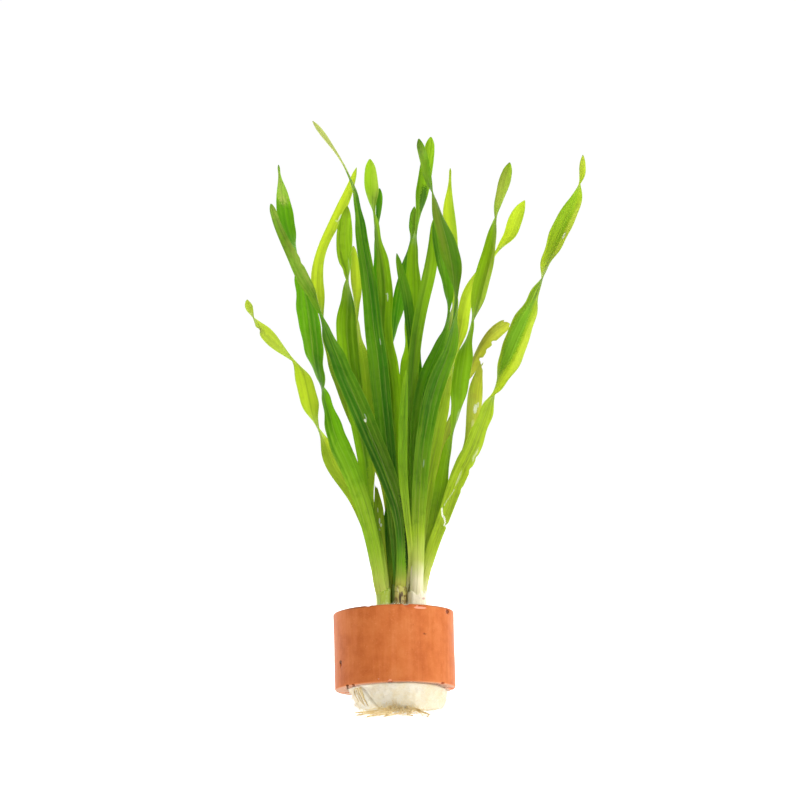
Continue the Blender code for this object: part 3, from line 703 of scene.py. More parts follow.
CROWN_MARKS = {
    "middle": (
        # Painted shade: a dark green strip at the crown's left edge, where the gap between the plantlets lies
        # in shade.
        Mark(-0.9, 34.5, 0.75, 5.5, 0.85, colour(70, 104, 22)),
        Mark(1.35, 32.0, 0.35, 1.6, 0.95, colour(66, 44, 18)),
        Mark(1.9, 33.0, 0.3, 0.8, 0.9, colour(82, 56, 22)),
        Mark(2.75, 32.4, 0.35, 0.35, 0.85, colour(96, 70, 30)),
        Mark(0.2, 31.2, 0.6, 1.0, 0.5, colour(110, 84, 40)),
        Mark(2.6, 30.9, 0.8, 0.5, 0.55, colour(120, 88, 46)),
    ),
    "right": (Mark(8.2, 31.7, 0.5, 0.35, 0.6, colour(198, 142, 126)),),
}


def depth_behind(height):
    """How far back the ring's leaning axis is at a height."""
    return (height - RING_LIFT) * math.tan(RING_LEAN)


def add_tube(bm, rings):
    """Walls round rings of points, with both ends filled."""
    add_walls(bm, [ring + ring[:1] for ring in rings])
    bm.faces.new(rings[0][::-1])
    bm.faces.new(rings[-1])


def make_crown(side, plantlet):
    """A fluted stem that narrows a little downwards and ends in ragged sheath edges at its collar."""
    bm = bmesh.new()
    collar = CROWN_COLLARS[side]
    rings = []
    for step in range(CROWN_STEPS + 1):
        height = CROWN_BOTTOM + (collar - CROWN_BOTTOM) * step / CROWN_STEPS
        ring = []
        share = (height - CROWN_BOTTOM) / (CROWN_TOP - CROWN_BOTTOM)
        girth = 0.8 + 0.22 * min(1, share)
        for turn in range(CROWN_TURNS):
            facing = way_round(turn, CROWN_TURNS)[1]
            ragged = 1.3 * noise.noise(Vector((facing.x * 2.1, facing.y * 2.1, plantlet.middle)))
            left = collar - 0.6 + ragged - height
            size = girth * (1 + 0.06 * noise.noise(Vector((facing.x * 4, facing.y * 4, height * 0.05))))
            size *= 1 - 0.55 * (1 - soft_step(0, 0.9, left))
            across = math.copysign(abs(facing.x) ** 0.7, facing.x) * plantlet.half_width
            deep = math.copysign(abs(facing.y) ** 0.7, facing.y) * plantlet.half_depth
            at = Vector((across, deep, 0)) * size * MM
            at.x += plantlet.middle * MM
            at.y += depth_behind(height * MM)
            at.z = height * MM
            ring.append(bm.verts.new(at))
        rings.append(ring)
    add_tube(bm, rings)
    return bm


def make_stem_finish(side):
    """Blanched, slightly glossy leaf bases with lengthwise fibres."""
    finish, tree = finish_tree("crown_" + side)
    place = tree.place()
    parts = tree.parts(place)
    height = parts.out(2) * MM_A_METRE
    rise = tree.add("ShaderNodeMapRange", None, {"Value": height, "From Min": 29, "From Max": 35})
    base = tree.ramp(rise, *CROWN_COLOURS[side])
    fibres = tree.grain(tree.stretched(place, (1, 1, 0.08)), 2400, 3, 0.6)
    blotches = tree.grain(place, 900, 3, 0.6)
    base = tree.blend(0.35 * tree.step(fibres, 0.45, 0.3), base, colour(132, 136, 66))
    base = tree.blend(0.25 * tree.step(fibres, 0.55, 0.7), base, colour(250, 250, 232))
    if side == "middle":
        base = tree.blend(0.6 * tree.step(blotches, 0.5, 0.36), base, colour(104, 84, 36))
    ragged = 1.1 * tree.grain(place, 2600, 2) - 0.55
    base, shown = marked(tree, base, parts * MM_A_METRE, height, CROWN_MARKS.get(side, ()), ragged)
    relief = tree.relief(fibres, 0.00009)
    tree.surface({"Base Color": base, "Roughness": 0.38 + 0.25 * blotches, "Normal": relief})
    return finish


for side, plantlet in PLANTLETS.items():
    dress(
        f"crown_{side}_stem", make_crown(side, plantlet), make_stem_finish(side), [f"crown_{side}"]
    )

# Leaves: thin ribbons that grow on the crowns, twist about themselves and end in a blunt tip. Light comes
# through them, so one layer is yellow-green and two are dark. Some are bitten, torn or browned.
# Sizes are in millimetres, and so are the heights where a leaf grows on its crown, where its mesh starts in
# it, and between which it thins and comes free of its neighbours.
LEAF_FOOT = 31.1
LEAF_START = 29.2
LEAF_THINS = (31, 44)
LEAF_FREE = (33, 62)
LEAF_PITCH = 0.9
LEAF_STEP = 0.5
LEAF_THICKNESS = 0.45
LEAF_BASE_THICKNESS = 0.9
LEAF_TIP_ROUND = 2.5
LEAF_TIP_WIDTH = 0.7
LEAF_FOOT_MARGIN = 0.2
LEAF_WAVES = (8, 13)
LEAF_PHASES = (0, 6.3)
LEAF_COLUMNS = 10
# Shares of a leaf's width: how deep its gutter and its ripples are. How much its foot hugs the crown, as a
# share of its distance from the crown's middle, and how its way back to its reach grows with height.
LEAF_GUTTER = 0.1
LEAF_RIPPLE = 0.055
LEAF_HUG = 0.22
REACH_POWER = 1.15
# The height that a leaf's UV counts as 1.
UV_HEIGHT = 200
# The eye of the photograph, in metres: the leaves are placed along its lines of sight.
EYE_DISTANCE = 1.3
EYE_HEIGHT = 0.0893
# A leaf's place from the front to the back of its plantlet, how far behind the plant's middle its tip is,
# which way it twists, and its route. A row of the route says how far across and how high it is, and how wide
# it looks there, which is 0 where the leaf turns its edge to the front.
Leaf = namedtuple("Leaf", "order reach hand route")
LEAVES = {
    "left": [
        Leaf(0, -13, 1, (
            (-4.5, 35, 3.5), (-5.2, 40, 3.7), (-7.1, 50, 4.2), (-9.8, 60, 4.9), (-13.4, 70, 5.6),
            (-15.7, 75, 5.9), (-17.8, 80, 5), (-19.1, 85, 3.9), (-20.4, 89, 2.4), (-21.1, 93, 0),
            (-22.4, 97, 2.8), (-23.7, 103, 5.1), (-25, 112, 6.2), (-25.9, 117, 5.4), (-26.9, 122, 3.8),
            (-27.9, 127, 1.6), (-28.8, 131.5, 0), (-29.7, 135, 2.3), (-31.4, 140, 4.6),
            (-31.9, 143, 4.9), (-32.6, 147, 4), (-32.9, 150, 3.1), (-33.5, 153.5, 0.9),
            (-33.9, 157.5, 0.5))),
        Leaf(1, -4, -1, (
            (-4, 40, 3.3), (-5.4, 49, 2.8), (-7.5, 58, 2.1), (-8.2, 65, 3.9), (-8.6, 70, 4.1),
            (-10.2, 79, 4.2), (-11.5, 87, 4.9), (-12.6, 95, 5.6), (-13.4, 101, 5.9), (-14.1, 108, 6),
            (-14.2, 113, 5.5), (-13.7, 118, 4.2), (-13.8, 121, 2.6), (-14, 123.7, 0), (-14, 127, 2.5),
            (-14.5, 130.5, 3.6), (-14.8, 136.5, 4.7), (-14.6, 140, 4.2), (-14.2, 143, 2.6),
            (-13.9, 145.5, 1.4))),
        Leaf(2, 3.6, 1, (
            (-3.5, 38, 3.1), (-4.2, 45, 3.1), (-4.6, 50, 3.2), (-4.85, 55, 3.2), (-4.9, 58, 2.8),
            (-5.1, 60, 2.1), (-5.45, 62.5, 1.2), (-5.7, 65, 0.6))),
        Leaf(3, 9, 1, (
            (-4, 40, 3.4), (-5.6, 50, 3), (-7.5, 60, 2.4), (-7.9, 68, 4), (-8, 77, 4.3),
            (-8.2, 86, 4.6), (-8.6, 94, 4.6), (-9.4, 101, 3.3), (-10.5, 107, 1.5), (-11.3, 113, 0),
            (-11.2, 117, 1.6), (-11.2, 120, 2.7), (-11.6, 125, 2.9), (-11.9, 130, 2.3),
            (-12.2, 134, 1.4))),
        Leaf(4, 24, 1, (
            (-4.1, 35, 3.2), (-4.6, 40, 3.4), (-7.1, 50, 3.8), (-11, 60, 4.4), (-14.1, 65, 4.8),
            (-17.6, 70, 5), (-19.7, 75, 4.3), (-20.9, 78, 2.4), (-22.1, 80.6, 0), (-22.9, 82.5, 1.5),
            (-24.1, 85.5, 3.5), (-25.3, 90, 5.2), (-26.5, 95, 4.8), (-27.9, 98.5, 2.4),
            (-30, 101.3, 0), (-32, 103.2, 2), (-34.4, 105.4, 3.6), (-37, 108, 3.9), (-39.5, 110.7, 2.8),
            (-41.2, 113.3, 0), (-42, 115, 1.7), (-42.8, 116.8, 2.5), (-43, 118.4, 1.8))),
    ],
    "middle": [
        Leaf(3.5, -24, 1, (
            (3.5, 36, 1.5), (4.4, 41, 1.5), (4.3, 47, 1.6), (3.2, 57, 2.1), (2.2, 68, 2.6), (2.2, 80, 2.6),
            (2.5, 89, 2.2), (2.8, 94, 1.6), (3.1, 98, 0.8))),
        Leaf(1, -21, -1, (
            (1.8, 40, 3.2), (1.9, 50, 3.6), (0.8, 58, 4.4), (-1.4, 65, 5), (-4.1, 72, 5.4),
            (-7.3, 79.5, 5.7), (-10.5, 87, 6), (-14, 95, 5.4), (-17.2, 103, 4.4), (-19.6, 109, 2.6),
            (-21.9, 114.8, 0), (-23.6, 119, 2.3), (-25.2, 122, 3.2), (-27.5, 126, 3.7),
            (-29.3, 130, 3.4), (-32, 135.2, 2.6), (-34.3, 140.4, 2.2), (-36.1, 146.2, 1.7))),
        Leaf(2, -13, 1, (
            (1, 40, 3.6), (0.3, 50, 3.9), (-0.7, 60, 4.3), (-1.8, 70, 4.7), (-3, 81, 5.1),
            (-4.2, 92, 5.5), (-5.1, 101, 5.7), (-6.3, 110, 5.5), (-7.3, 120, 4.7), (-8.6, 129, 4.4),
            (-9.6, 135, 3.8), (-10.4, 141, 2.8), (-11.2, 146, 1.7), (-12.2, 151, 0.8), (-15, 157.6, 0),
            (-18.6, 163, 0.6), (-21, 166.4, 1.5), (-22.8, 168.7, 1.4), (-24, 170.2, 1))),
        Leaf(3, -6, -1, (
            (2.2, 42, 3.2), (3.2, 53, 3.2), (4.4, 64, 3.4), (5.4, 75, 3.6), (6, 85, 3.8),
            (6.2, 94, 3.8), (5.7, 101, 3.5), (5, 107, 3.2), (4.2, 113, 3), (3.4, 119, 2.9),
            (2.2, 124, 2.6), (1.2, 128, 1.9), (0.4, 131.8, 0.9))),
        Leaf(4, 0, -1, (
            (2, 42, 3.4), (3, 53, 3.6), (3.8, 64, 3.9), (4.3, 75, 4.2), (4.4, 85, 4.9), (4.2, 92, 5.8),
            (4.3, 98, 6), (4.9, 102, 5.1), (5.3, 107, 4.7), (5.3, 113, 4.8), (5.2, 120, 4.8),
            (5.2, 126, 4.2), (5.3, 131, 3), (5.6, 136, 1.3), (6.2, 139.7, 0), (6.9, 144, 2.1),
            (7.6, 148, 3.1), (8.3, 152.5, 3.8), (9, 157, 3.8), (9.8, 161.5, 3.2), (10.3, 165.6, 1.9))),
        Leaf(5, 8, 1, (
            (1, 42, 3.4), (0.7, 52, 3.6), (0.4, 62, 3.9), (0.2, 72, 4.2), (0, 82, 4.4), (-0.5, 92, 4.6),
            (-1.7, 101, 4.4), (-2.9, 107, 4.1), (-3.2, 112, 4.1), (-2.9, 118, 4.3), (-3.3, 125, 4.2),
            (-4.2, 131, 3.1), (-5.1, 136, 1.9), (-5.8, 141, 0.9), (-6.2, 144, 0), (-6.6, 147, 2.4),
            (-7, 151.5, 4.1), (-7.2, 155, 3.7), (-7.4, 159.2, 1.9))),
        Leaf(6, 14, -1, (
            (0.6, 42, 3.4), (-0.2, 53, 3.6), (-1.2, 64, 3.8), (-2.2, 75, 4), (-2.9, 85, 4.2),
            (-3.3, 95, 4.3), (-3.7, 105, 4.3), (-4.2, 115, 4), (-4.7, 123, 3.3), (-5.1, 129, 2.4),
            (-5.3, 134, 1.4), (-5.2, 140, 0), (-4.8, 144, 1.6), (-4.6, 148, 1.9), (-4.6, 150.7, 1.3))),
        Leaf(7, 20, 1, (
            (1.3, 36, 3.6), (1, 41, 4), (0.4, 46, 4.2), (-0.3, 51, 4.2), (-1, 57, 4),
            (-1.9, 62, 3.8), (-3.1, 67, 3.8), (-6, 73, 4.4), (-9.3, 80, 5), (-12.4, 87, 5.2),
            (-15.2, 94, 4.9), (-17.7, 100, 4.1), (-19.6, 105.5, 2.8), (-20.7, 110, 1.5),
            (-21.3, 113.5, 0), (-21.9, 117, 2.9), (-22.6, 121, 3.6), (-22.8, 125, 3.7), (-22.2, 130, 3),
            (-20.6, 135, 2.8), (-18.1, 140, 3.1), (-15.7, 145, 3.2), (-13.5, 150, 2.5),
            (-12.3, 153.5, 1.7), (-11.3, 156.7, 0.8))),
        Leaf(8, 28, -1, (
            (1.4, 44, 3.2), (1.3, 56, 3.4), (1, 68, 3.5), (0.5, 80, 3.5), (-0.1, 90, 3.2),
            (-0.8, 98, 2.2), (-1.1, 105.3, 0), (-0.4, 110, 2.2), (0.5, 115, 3.5), (1.4, 120, 3.8),
            (2.4, 125, 3.4), (3.5, 130, 2.5), (4.6, 136, 0), (4.9, 139.5, 2.1), (5.1, 142.5, 2.1),
            (5.5, 145.4, 1.3))),
    ],
    "right": [
        Leaf(0, -24, 1, (
            (6.6, 42, 3.5), (6.6, 51, 3.9), (6.9, 60, 4.3), (7.5, 70, 4.6), (8.7, 80, 4.9),
            (10.7, 90, 5.2), (12.6, 96, 5.1), (14.6, 101, 4.6), (15.9, 105, 3.6), (16.9, 110, 2.1),
            (17.6, 118.5, 0), (17.6, 121, 1.3), (17.3, 124, 2.7), (16.8, 127.5, 4.2), (15.5, 133, 5.4),
            (14.3, 137, 4.6), (13.2, 140.5, 3.7), (12.2, 144, 2.4), (11.2, 147.5, 1.1), (10.5, 149.9, 0),
            (9.8, 153, 1.8), (8.9, 157, 2.4), (8, 160.5, 2.5), (7.2, 163, 2.2), (6.8, 165.1, 1.5))),
        Leaf(1, -12, 1, (
            (6.2, 42, 3.6), (6.3, 52, 3.8), (6.4, 63, 4), (6.3, 74, 4.4), (6.9, 84, 4.6), (7.9, 91, 4.7),
            (9.2, 96, 4.6), (10.9, 100.5, 4.3), (12.9, 105, 3.4), (14.4, 109, 2.1), (15.5, 114.5, 0),
            (15.5, 119, 1.9), (14.9, 124, 3.2), (13.7, 130, 3.8), (12.7, 135, 3.6), (11.9, 139, 2.6),
            (11.4, 142, 1.2))),
        Leaf(2, -10, 1, (
            (6.2, 42, 2.8), (5.5, 54, 2.9), (4.9, 66, 3.1), (4.6, 78, 3.2), (4.6, 88, 3.3),
            (5.1, 98, 3.4), (5.9, 106, 3.4), (7, 113, 3.5), (8.2, 119, 3.7), (9.4, 124, 3.8),
            (10.4, 129, 3.6), (10.9, 134, 2.8), (11, 138, 2), (11, 141.6, 1))),
        Leaf(3, -13, 1, (
            (7.6, 35, 3.5), (8.7, 40, 3.4), (10.3, 45, 3.4), (12, 50, 3.5), (14, 55, 3.7), (15.7, 60, 4.1),
            (17.5, 65, 4.7), (19.6, 70, 5.1), (22, 75, 5), (24, 80, 4.6), (25.8, 85, 4.1),
            (27.3, 89, 2.6), (29, 91.8, 0), (30.3, 95, 3.2), (32.3, 99, 5.6), (34.4, 104.5, 6.9),
            (36.6, 110, 6.6), (38.8, 115, 5.1), (40.4, 119, 3.1), (41.5, 122, 1.6), (42.5, 125, 0),
            (43.5, 128, 1.9), (45.3, 132.5, 4), (47.3, 137, 5), (49.3, 141.5, 5.3), (51.5, 146, 4.4),
            (52.9, 149.3, 2.4), (53.6, 152.4, 0), (54.1, 155, 1.6), (54.3, 157.5, 1.8),
            (54.4, 160.4, 1))),
        Leaf(4, -3, 1, (
            (6.6, 42, 3.2), (7.6, 52, 3.3), (9, 61, 3.4), (10.5, 70, 3.5), (12.1, 78, 3.4),
            (13.5, 84, 3.1), (14.4, 88, 2.6), (15.2, 92, 1.9), (16, 96.3, 0.9))),
        Leaf(5, -4, -1, (
            (7.6, 38, 3.4), (9.3, 45, 3.5), (10.8, 52, 3.7), (12.4, 60, 3.9), (13.6, 66, 3.7),
            (14.5, 71, 3), (15.3, 75, 2), (16.7, 80.6, 0), (17.4, 84, 2.2), (18.1, 88, 3.7),
            (18.8, 94, 5), (19.7, 100, 5), (20.8, 105, 3), (21.8, 109, 1.2), (22.4, 111.8, 0),
            (23, 115, 2.2), (24, 120, 4.1), (25.3, 125, 4.6), (26.7, 130, 4.3), (27.7, 134.5, 3.2),
            (28.6, 139, 1.5), (29.1, 142.7, 0), (29.9, 146, 1.9), (31, 150, 3.2), (31.8, 153.2, 3.5),
            (32.6, 156, 2.7), (33.2, 158.2, 1.6))),
        Leaf(6, 7, -1, (
            (8, 40, 3.2), (10.9, 50, 3.3), (14.6, 60, 3.4), (18.6, 69, 3.4), (21.4, 76, 3.2),
            (22.3, 82, 3.8), (22.9, 88, 4.4), (23.4, 93, 4), (24.2, 97, 2.2), (25.1, 100.3, 0.9))),
        Leaf(7, 15, 1, (
            (7.4, 41, 3.2), (9.4, 51, 3.3), (11.5, 61, 3.4), (13.2, 71, 3.2), (15.1, 80, 2.6),
            (18, 88, 1.9), (20.8, 94.6, 0), (22.2, 98, 1.7), (23.4, 101.2, 2.6), (25.6, 105, 3.4),
            (27.7, 107.8, 3.7), (30.2, 110, 4), (32.9, 111.8, 3.4))),
        Leaf(8, 24, -1, (
            (6.6, 43, 3.6), (7.2, 54, 3.8), (8, 65, 4), (9.3, 76, 4.1), (11, 86, 4.1), (13, 95, 3.8),
            (14.8, 104, 2.8), (16.1, 111, 1.6), (16.9, 118, 0), (16.8, 124, 2.2), (16.5, 130, 3.6),
            (16.1, 136, 4), (15.7, 141, 3.8), (15.4, 145, 3.3), (15.6, 149, 1.9), (15.8, 152, 0.9),
            (15.9, 156.5, 0.5))),
        Leaf(9, 31, 1, (
            (7, 42, 3.1), (8.4, 52, 3.2), (9.9, 62, 3.3), (11.4, 72, 3.4), (12.9, 81, 3.2),
            (14.5, 89, 2.6), (16.1, 96, 1.6), (17.4, 101.8, 0), (18.4, 105.5, 1.8), (19.3, 110, 3.2),
            (19.9, 115, 3.7), (21.2, 120, 3.5), (24.1, 125, 3.1), (27.3, 129.6, 1.8), (29.6, 132.6, 0),
            (31.7, 134.9, 2.2), (33.4, 137.2, 3.4), (34.2, 140, 4.2), (35.3, 143, 4),
            (37.5, 147.2, 1.4))),
    ],
}

# Cuts in a leaf's edge: how high, which edge (1 the right one at its foot, -1 the left), how deep, and half
# of how long, in millimetres.
Bite = namedtuple("Bite", "height edge depth half_length")
LEAF_BITES = {
    "left_2": (Bite(127.5, 1, 0.5, 1.5), Bite(131.5, -1, 0.4, 1.0)),
    "left_5": (Bite(110.0, -1, 1.0, 0.7),),
    "middle_2": (Bite(128.5, -1, 0.3, 1.0),),
    "right_4": (
        Bite(53.4, 1, 0.7, 0.4), Bite(64.2, 1, 0.25, 0.8), Bite(70.0, 1, 0.4, 1.0), Bite(73.5, 1, 0.3, 0.8),
    ),
    "right_7": (Bite(99.2, 1, 0.4, 0.8),),
    "right_8": (Bite(101.6, -1, 1.2, 0.7), Bite(104.6, -1, 0.5, 0.8), Bite(107.0, -1, 0.9, 0.6)),
}
TORN_TIPS = {"left_3": 1.2, "right_7": 1.0, "right_8": 1.6}

GREENS = {
    "white": colour(255, 250, 208),
    "pale": colour(208, 219, 108),
    "lime": colour(190, 218, 52),
    "spring": colour(158, 196, 42),
    "fresh": colour(114, 168, 26),
    "mid": colour(70, 130, 18),
    "dark": colour(40, 94, 10),
    "deep": colour(24, 64, 6),
    "olive": colour(130, 134, 36),
    "brown": colour(138, 120, 54),
    "straw": colour(196, 204, 90),
}
# The light that comes through a leaf.
GLOWS = {
    "lime": colour(222, 232, 110),
    "fresh": colour(188, 218, 72),
    "vivid": colour(158, 206, 50),
    "green": colour(130, 188, 36),
    "olive": colour(186, 196, 68),
    "straw": colour(222, 222, 124),
}
# Each leaf's glow, and its greens from foot to tip by height in millimetres.
LeafLook = namedtuple("LeafLook", "glow greens")
LEAF_LOOKS = {
    "left_1": LeafLook("vivid", "31 pale 44 spring 50 spring 62 lime 72 spring 84 fresh 90 fresh 100 mid "
                                "116 mid 130 mid 143 mid 147 spring 150 pale 157 straw"),
    "left_2": LeafLook("fresh", "31 pale 45 spring 60 fresh 80 mid 100 dark 117 dark 126 lime 134 lime "
                                "143 lime 145 olive"),
    "left_3": LeafLook("olive", "31 pale 44 lime 52 spring 60 fresh 67 olive"),
    "left_4": LeafLook("lime", "31 pale 45 spring 70 fresh 100 mid 112 fresh 118 spring 134 spring"),
    "left_5": LeafLook("lime", "31 pale 42 lime 50 lime 60 spring 74 spring 82 spring 100 spring 118 straw"),
    "middle_1": LeafLook("fresh", "31 white 41 pale 50 lime 62 spring 75 fresh 90 fresh 98 spring"),
    "middle_2": LeafLook("green", "31 olive 37 straw 42 fresh 50 mid 58 dark 76 deep 86 mid 96 mid 112 mid "
                                  "118 olive 124 straw 130 straw 136 olive 142 straw 146 straw"),
    "middle_3": LeafLook("green", "31 olive 41 mid 55 dark 80 dark 100 mid 125 dark 148 mid 155 straw "
                                  "170 straw"),
    "middle_4": LeafLook("green", "31 olive 42 fresh 55 mid 75 dark 100 dark 116 mid 124 fresh 131 spring"),
    "middle_5": LeafLook("fresh", "31 olive 45 fresh 60 fresh 80 mid 92 fresh 100 fresh 126 mid 134 dark "
                                  "140 mid 153 mid 158 spring 165 lime"),
    "middle_6": LeafLook("fresh", "31 olive 46 mid 80 dark 120 dark 138 deep 145 spring 149 pale 159 pale"),
    "middle_7": LeafLook("green", "31 olive 46 mid 90 dark 130 dark 140 deep 150 mid"),
    "middle_8": LeafLook("lime", "31 mid 50 dark 87 mid 104 mid 114 fresh 122 lime 150 lime 156 spring"),
    "middle_9": LeafLook("green", "31 olive 60 mid 90 dark 98 dark 118 dark 131 deep 137 olive 145 brown"),
    "right_1": LeafLook("green", "31 white 37 white 42 pale 50 lime 62 spring 74 fresh 84 mid 94 mid 104 "
                                 "fresh 112 fresh 120 olive 136 olive 146 brown 152 olive 157 lime 162 "
                                 "pale 165 olive"),
    "right_2": LeafLook("green", "31 white 42 white 47 pale 54 fresh 80 mid 98 mid 110 fresh 117 fresh 142 "
                                 "fresh"),
    "right_3": LeafLook("fresh", "31 white 38 pale 50 fresh 70 mid 95 mid 112 fresh 130 spring 141 fresh"),
    "right_4": LeafLook("lime", "31 white 38 pale 46 lime 80 lime 92 lime 100 fresh 106 mid 130 mid 146 "
                                "mid 151 spring 155 straw 160 straw"),
    "right_5": LeafLook("lime", "31 white 43 pale 52 lime 75 spring 88 fresh 96 straw"),
    "right_6": LeafLook("fresh", "31 white 40 pale 50 lime 60 spring 84 spring 92 fresh 106 mid 118 olive "
                                 "132 olive 139 olive 145 straw 155 straw 158 olive"),
    "right_7": LeafLook("straw", "31 white 42 pale 54 spring 76 spring 88 pale 94 lime 100 straw"),
    "right_8": LeafLook("straw", "31 white 42 pale 54 fresh 80 mid 98 straw 105 olive 110 straw 113 lime"),
    "right_9": LeafLook("lime", "31 white 43 pale 54 fresh 80 mid 110 mid 124 fresh 138 spring 156 spring"),
    "right_10": LeafLook("lime", "31 white 43 pale 54 fresh 85 fresh 104 spring 130 lime 147 lime"),
}
# Marks on the leaves: across is measured from the leaf's middle line.
PALE_MARK = colour(244, 246, 226)
BROWN_MARK = colour(138, 116, 54)
LEAF_MARKS = {
    "left_1": (
        Mark(-0.4, 139, 2.4, 9.4, 0.5, GREENS["mid"]), Mark(0.4, 151.5, 2.6, 5.4, 0.55, GREENS["pale"]),
    ),
    "left_2": (
        Mark(1.7, 65, 1.5, 8, 0.5, GREENS["lime"]), Mark(-0.7, 128.2, 0.2, 2.2, 0.6, PALE_MARK),
        Mark(1.5, 128, 0.5, 4.5, 0.6, GREENS["deep"]),
    ),
    "left_3": (
        Mark(-0.2, 57.4, 0.16, 0.8, 0.7, PALE_MARK), Mark(0.2, 54.2, 0.22, 0.9, 0.8, PALE_MARK),
        Mark(0.6, 53.0, 0.3, 0.5, 0.75, PALE_MARK), Mark(-0.1, 51.6, 0.5, 0.4, 0.6, PALE_MARK),
    ),
    "left_4": (
        Mark(0, 64, 3, 9, 0.58, GREENS["lime"]), Mark(1.2, 67.0, 0.2, 0.8, 0.6, PALE_MARK),
        Mark(0, 94, 3.2, 13, 0.72, GREENS["fresh"]),
    ),
    "left_5": (
        Mark(-1.3, 110.0, 0.5, 0.6, 0.8, BROWN_MARK), Mark(-1, 69, 3.4, 9, 0.72, colour(166, 196, 62)),
        Mark(0, 110, 5, 9.5, 0.45, colour(190, 208, 104)),
    ),
    "middle_2": (
        Mark(0.2, 83.3, 0.4, 0.5, 0.75, PALE_MARK), Mark(0.7, 84.2, 0.2, 0.9, 0.6, PALE_MARK),
        # Painted shadow: a dark strip along the right edge, where middle_1 shades this leaf.
        Mark(1.45, 50.5, 0.65, 11.5, 0.95, colour(24, 56, 8)), Mark(0.2, 133.0, 1.6, 2.6, 0.25, BROWN_MARK),
    ),
    "middle_3": (Mark(1.4, 106.0, 0.16, 1.0, 0.5, PALE_MARK), Mark(0, 164, 3, 9, 0.8, colour(206, 214, 120))),
    "middle_5": (Mark(-0.3, 147.5, 1.3, 4.6, 0.8, GREENS["dark"]),),
    "middle_6": (
        Mark(0, 155, 3, 6.5, 0.6, GREENS["lime"]), Mark(0.7, 119.3, 0.18, 1.2, 0.95, PALE_MARK),
        Mark(0.4, 120.1, 0.35, 0.22, 0.7, PALE_MARK),
    ),
    "middle_8": (
        Mark(-0.8, 142.6, 0.25, 1.0, 0.9, PALE_MARK), Mark(-1.3, 141.4, 0.22, 0.7, 0.8, PALE_MARK),
        Mark(-0.4, 141.4, 0.5, 0.27, 0.7, PALE_MARK), Mark(0, 91, 3.6, 15, 0.76, colour(112, 150, 40)),
    ),
    "right_1": (
        Mark(0.6, 71.0, 0.2, 1.2, 0.5, PALE_MARK), Mark(0.3, 156, 1.4, 5, 0.5, GREENS["spring"]),
        Mark(-1.5, 134, 1.4, 10, 0.55, GREENS["mid"]), Mark(1.3, 141, 0.9, 8, 0.5, BROWN_MARK),
    ),
    "right_3": (Mark(-1.0, 43.2, 0.3, 0.7, 0.7, PALE_MARK),),
    "right_4": (
        *(
            Mark(across, height, 0.25, 0.36, 0.95, PALE_MARK)
            for across, height in (
                (-1.35, 57.3), (-1.15, 56.9), (-0.95, 56.4), (-0.75, 55.9), (-0.5, 55.6), (-0.2, 55.4),
                (0.1, 55.2), (0.4, 54.8), (0.7, 54.4), (1.0, 53.9), (1.25, 53.4),
            )
        ),
        *(
            Mark(across, height, 0.15, 0.42, 0.6, PALE_MARK)
            for across, height in (
                (-1.0, 58.6), (-0.75, 59.5), (-0.5, 60.4), (-0.25, 61.3), (0, 62.2), (0.2, 63.1)
            )
        ),
        Mark(0.2, 66.6, 0.35, 2.2, 0.35, PALE_MARK), Mark(1.9, 74.0, 0.3, 2.0, 0.6, PALE_MARK),
        Mark(-2.7, 106, 1.1, 11, 0.6, GREENS["straw"]), Mark(2.1, 140, 0.8, 9, 0.6, GREENS["straw"]),
        Mark(1.7, 137.6, 0.35, 1.0, 0.6, PALE_MARK), Mark(-0.9, 140, 2.1, 13, 0.7, GREENS["fresh"]),
        Mark(0.9, 107, 2.1, 12, 0.8, GREENS["fresh"]),
    ),
    "right_6": (
        Mark(-0.9, 84.0, 0.9, 2.6, 0.55, PALE_MARK), Mark(-0.5, 130, 1.6, 12, 0.6, colour(92, 106, 24)),
        Mark(1.7, 127, 0.7, 12, 0.6, GREENS["straw"]), Mark(0, 151, 2.6, 6.5, 0.72, colour(166, 176, 66)),
    ),
    "right_7": (
        Mark(0.4, 86.8, 0.6, 1.5, 0.95, PALE_MARK), Mark(1.1, 88.0, 0.3, 0.9, 0.8, PALE_MARK),
        Mark(-0.5, 90.4, 1.1, 0.8, 0.25, BROWN_MARK), Mark(0.1, 82.5, 0.45, 1.2, 0.45, PALE_MARK),
    ),
    "right_8": (
        Mark(-0.9, 103.0, 0.9, 1.2, 0.15, BROWN_MARK), Mark(1.4, 107.6, 0.4, 3.4, 0.4, BROWN_MARK),
        Mark(0.9, 112.0, 0.9, 0.6, 0.4, BROWN_MARK),
    ),
    "right_9": (Mark(-0.8, 141, 1.3, 5, 0.55, GREENS["fresh"]),),
}


def smooth_value(knots, at):
    """The value at a place on a smooth curve through (place, value) knots."""
    index = max(i for i, knot in enumerate(knots[:-1]) if knot[0] <= at or i == 0)
    (x0, y0), (x1, y1) = knots[index], knots[index + 1]
    before = knots[index - 1] if index else knots[index]
    after = knots[index + 2] if index + 2 < len(knots) else knots[index + 1]
    slope0 = (y1 - before[1]) / (x1 - before[0])
    slope1 = (after[1] - y0) / (after[0] - x0)
    span = x1 - x0
    t = min(1, max(0, (at - x0) / span))
    return (
        (2 * t**3 - 3 * t**2 + 1) * y0
        + (t**3 - 2 * t**2 + t) * span * slope0
        + (3 * t**2 - 2 * t**3) * y1
        + (t**3 - t**2) * span * slope1
    )


def faces_of(route):
    """The route's rows in groups, from one edge-on row to the next."""
    faces = [[]]
    for row in route:
        if row[2] == 0:
            faces.append([])
        else:
            faces[-1].append(row)
    return faces


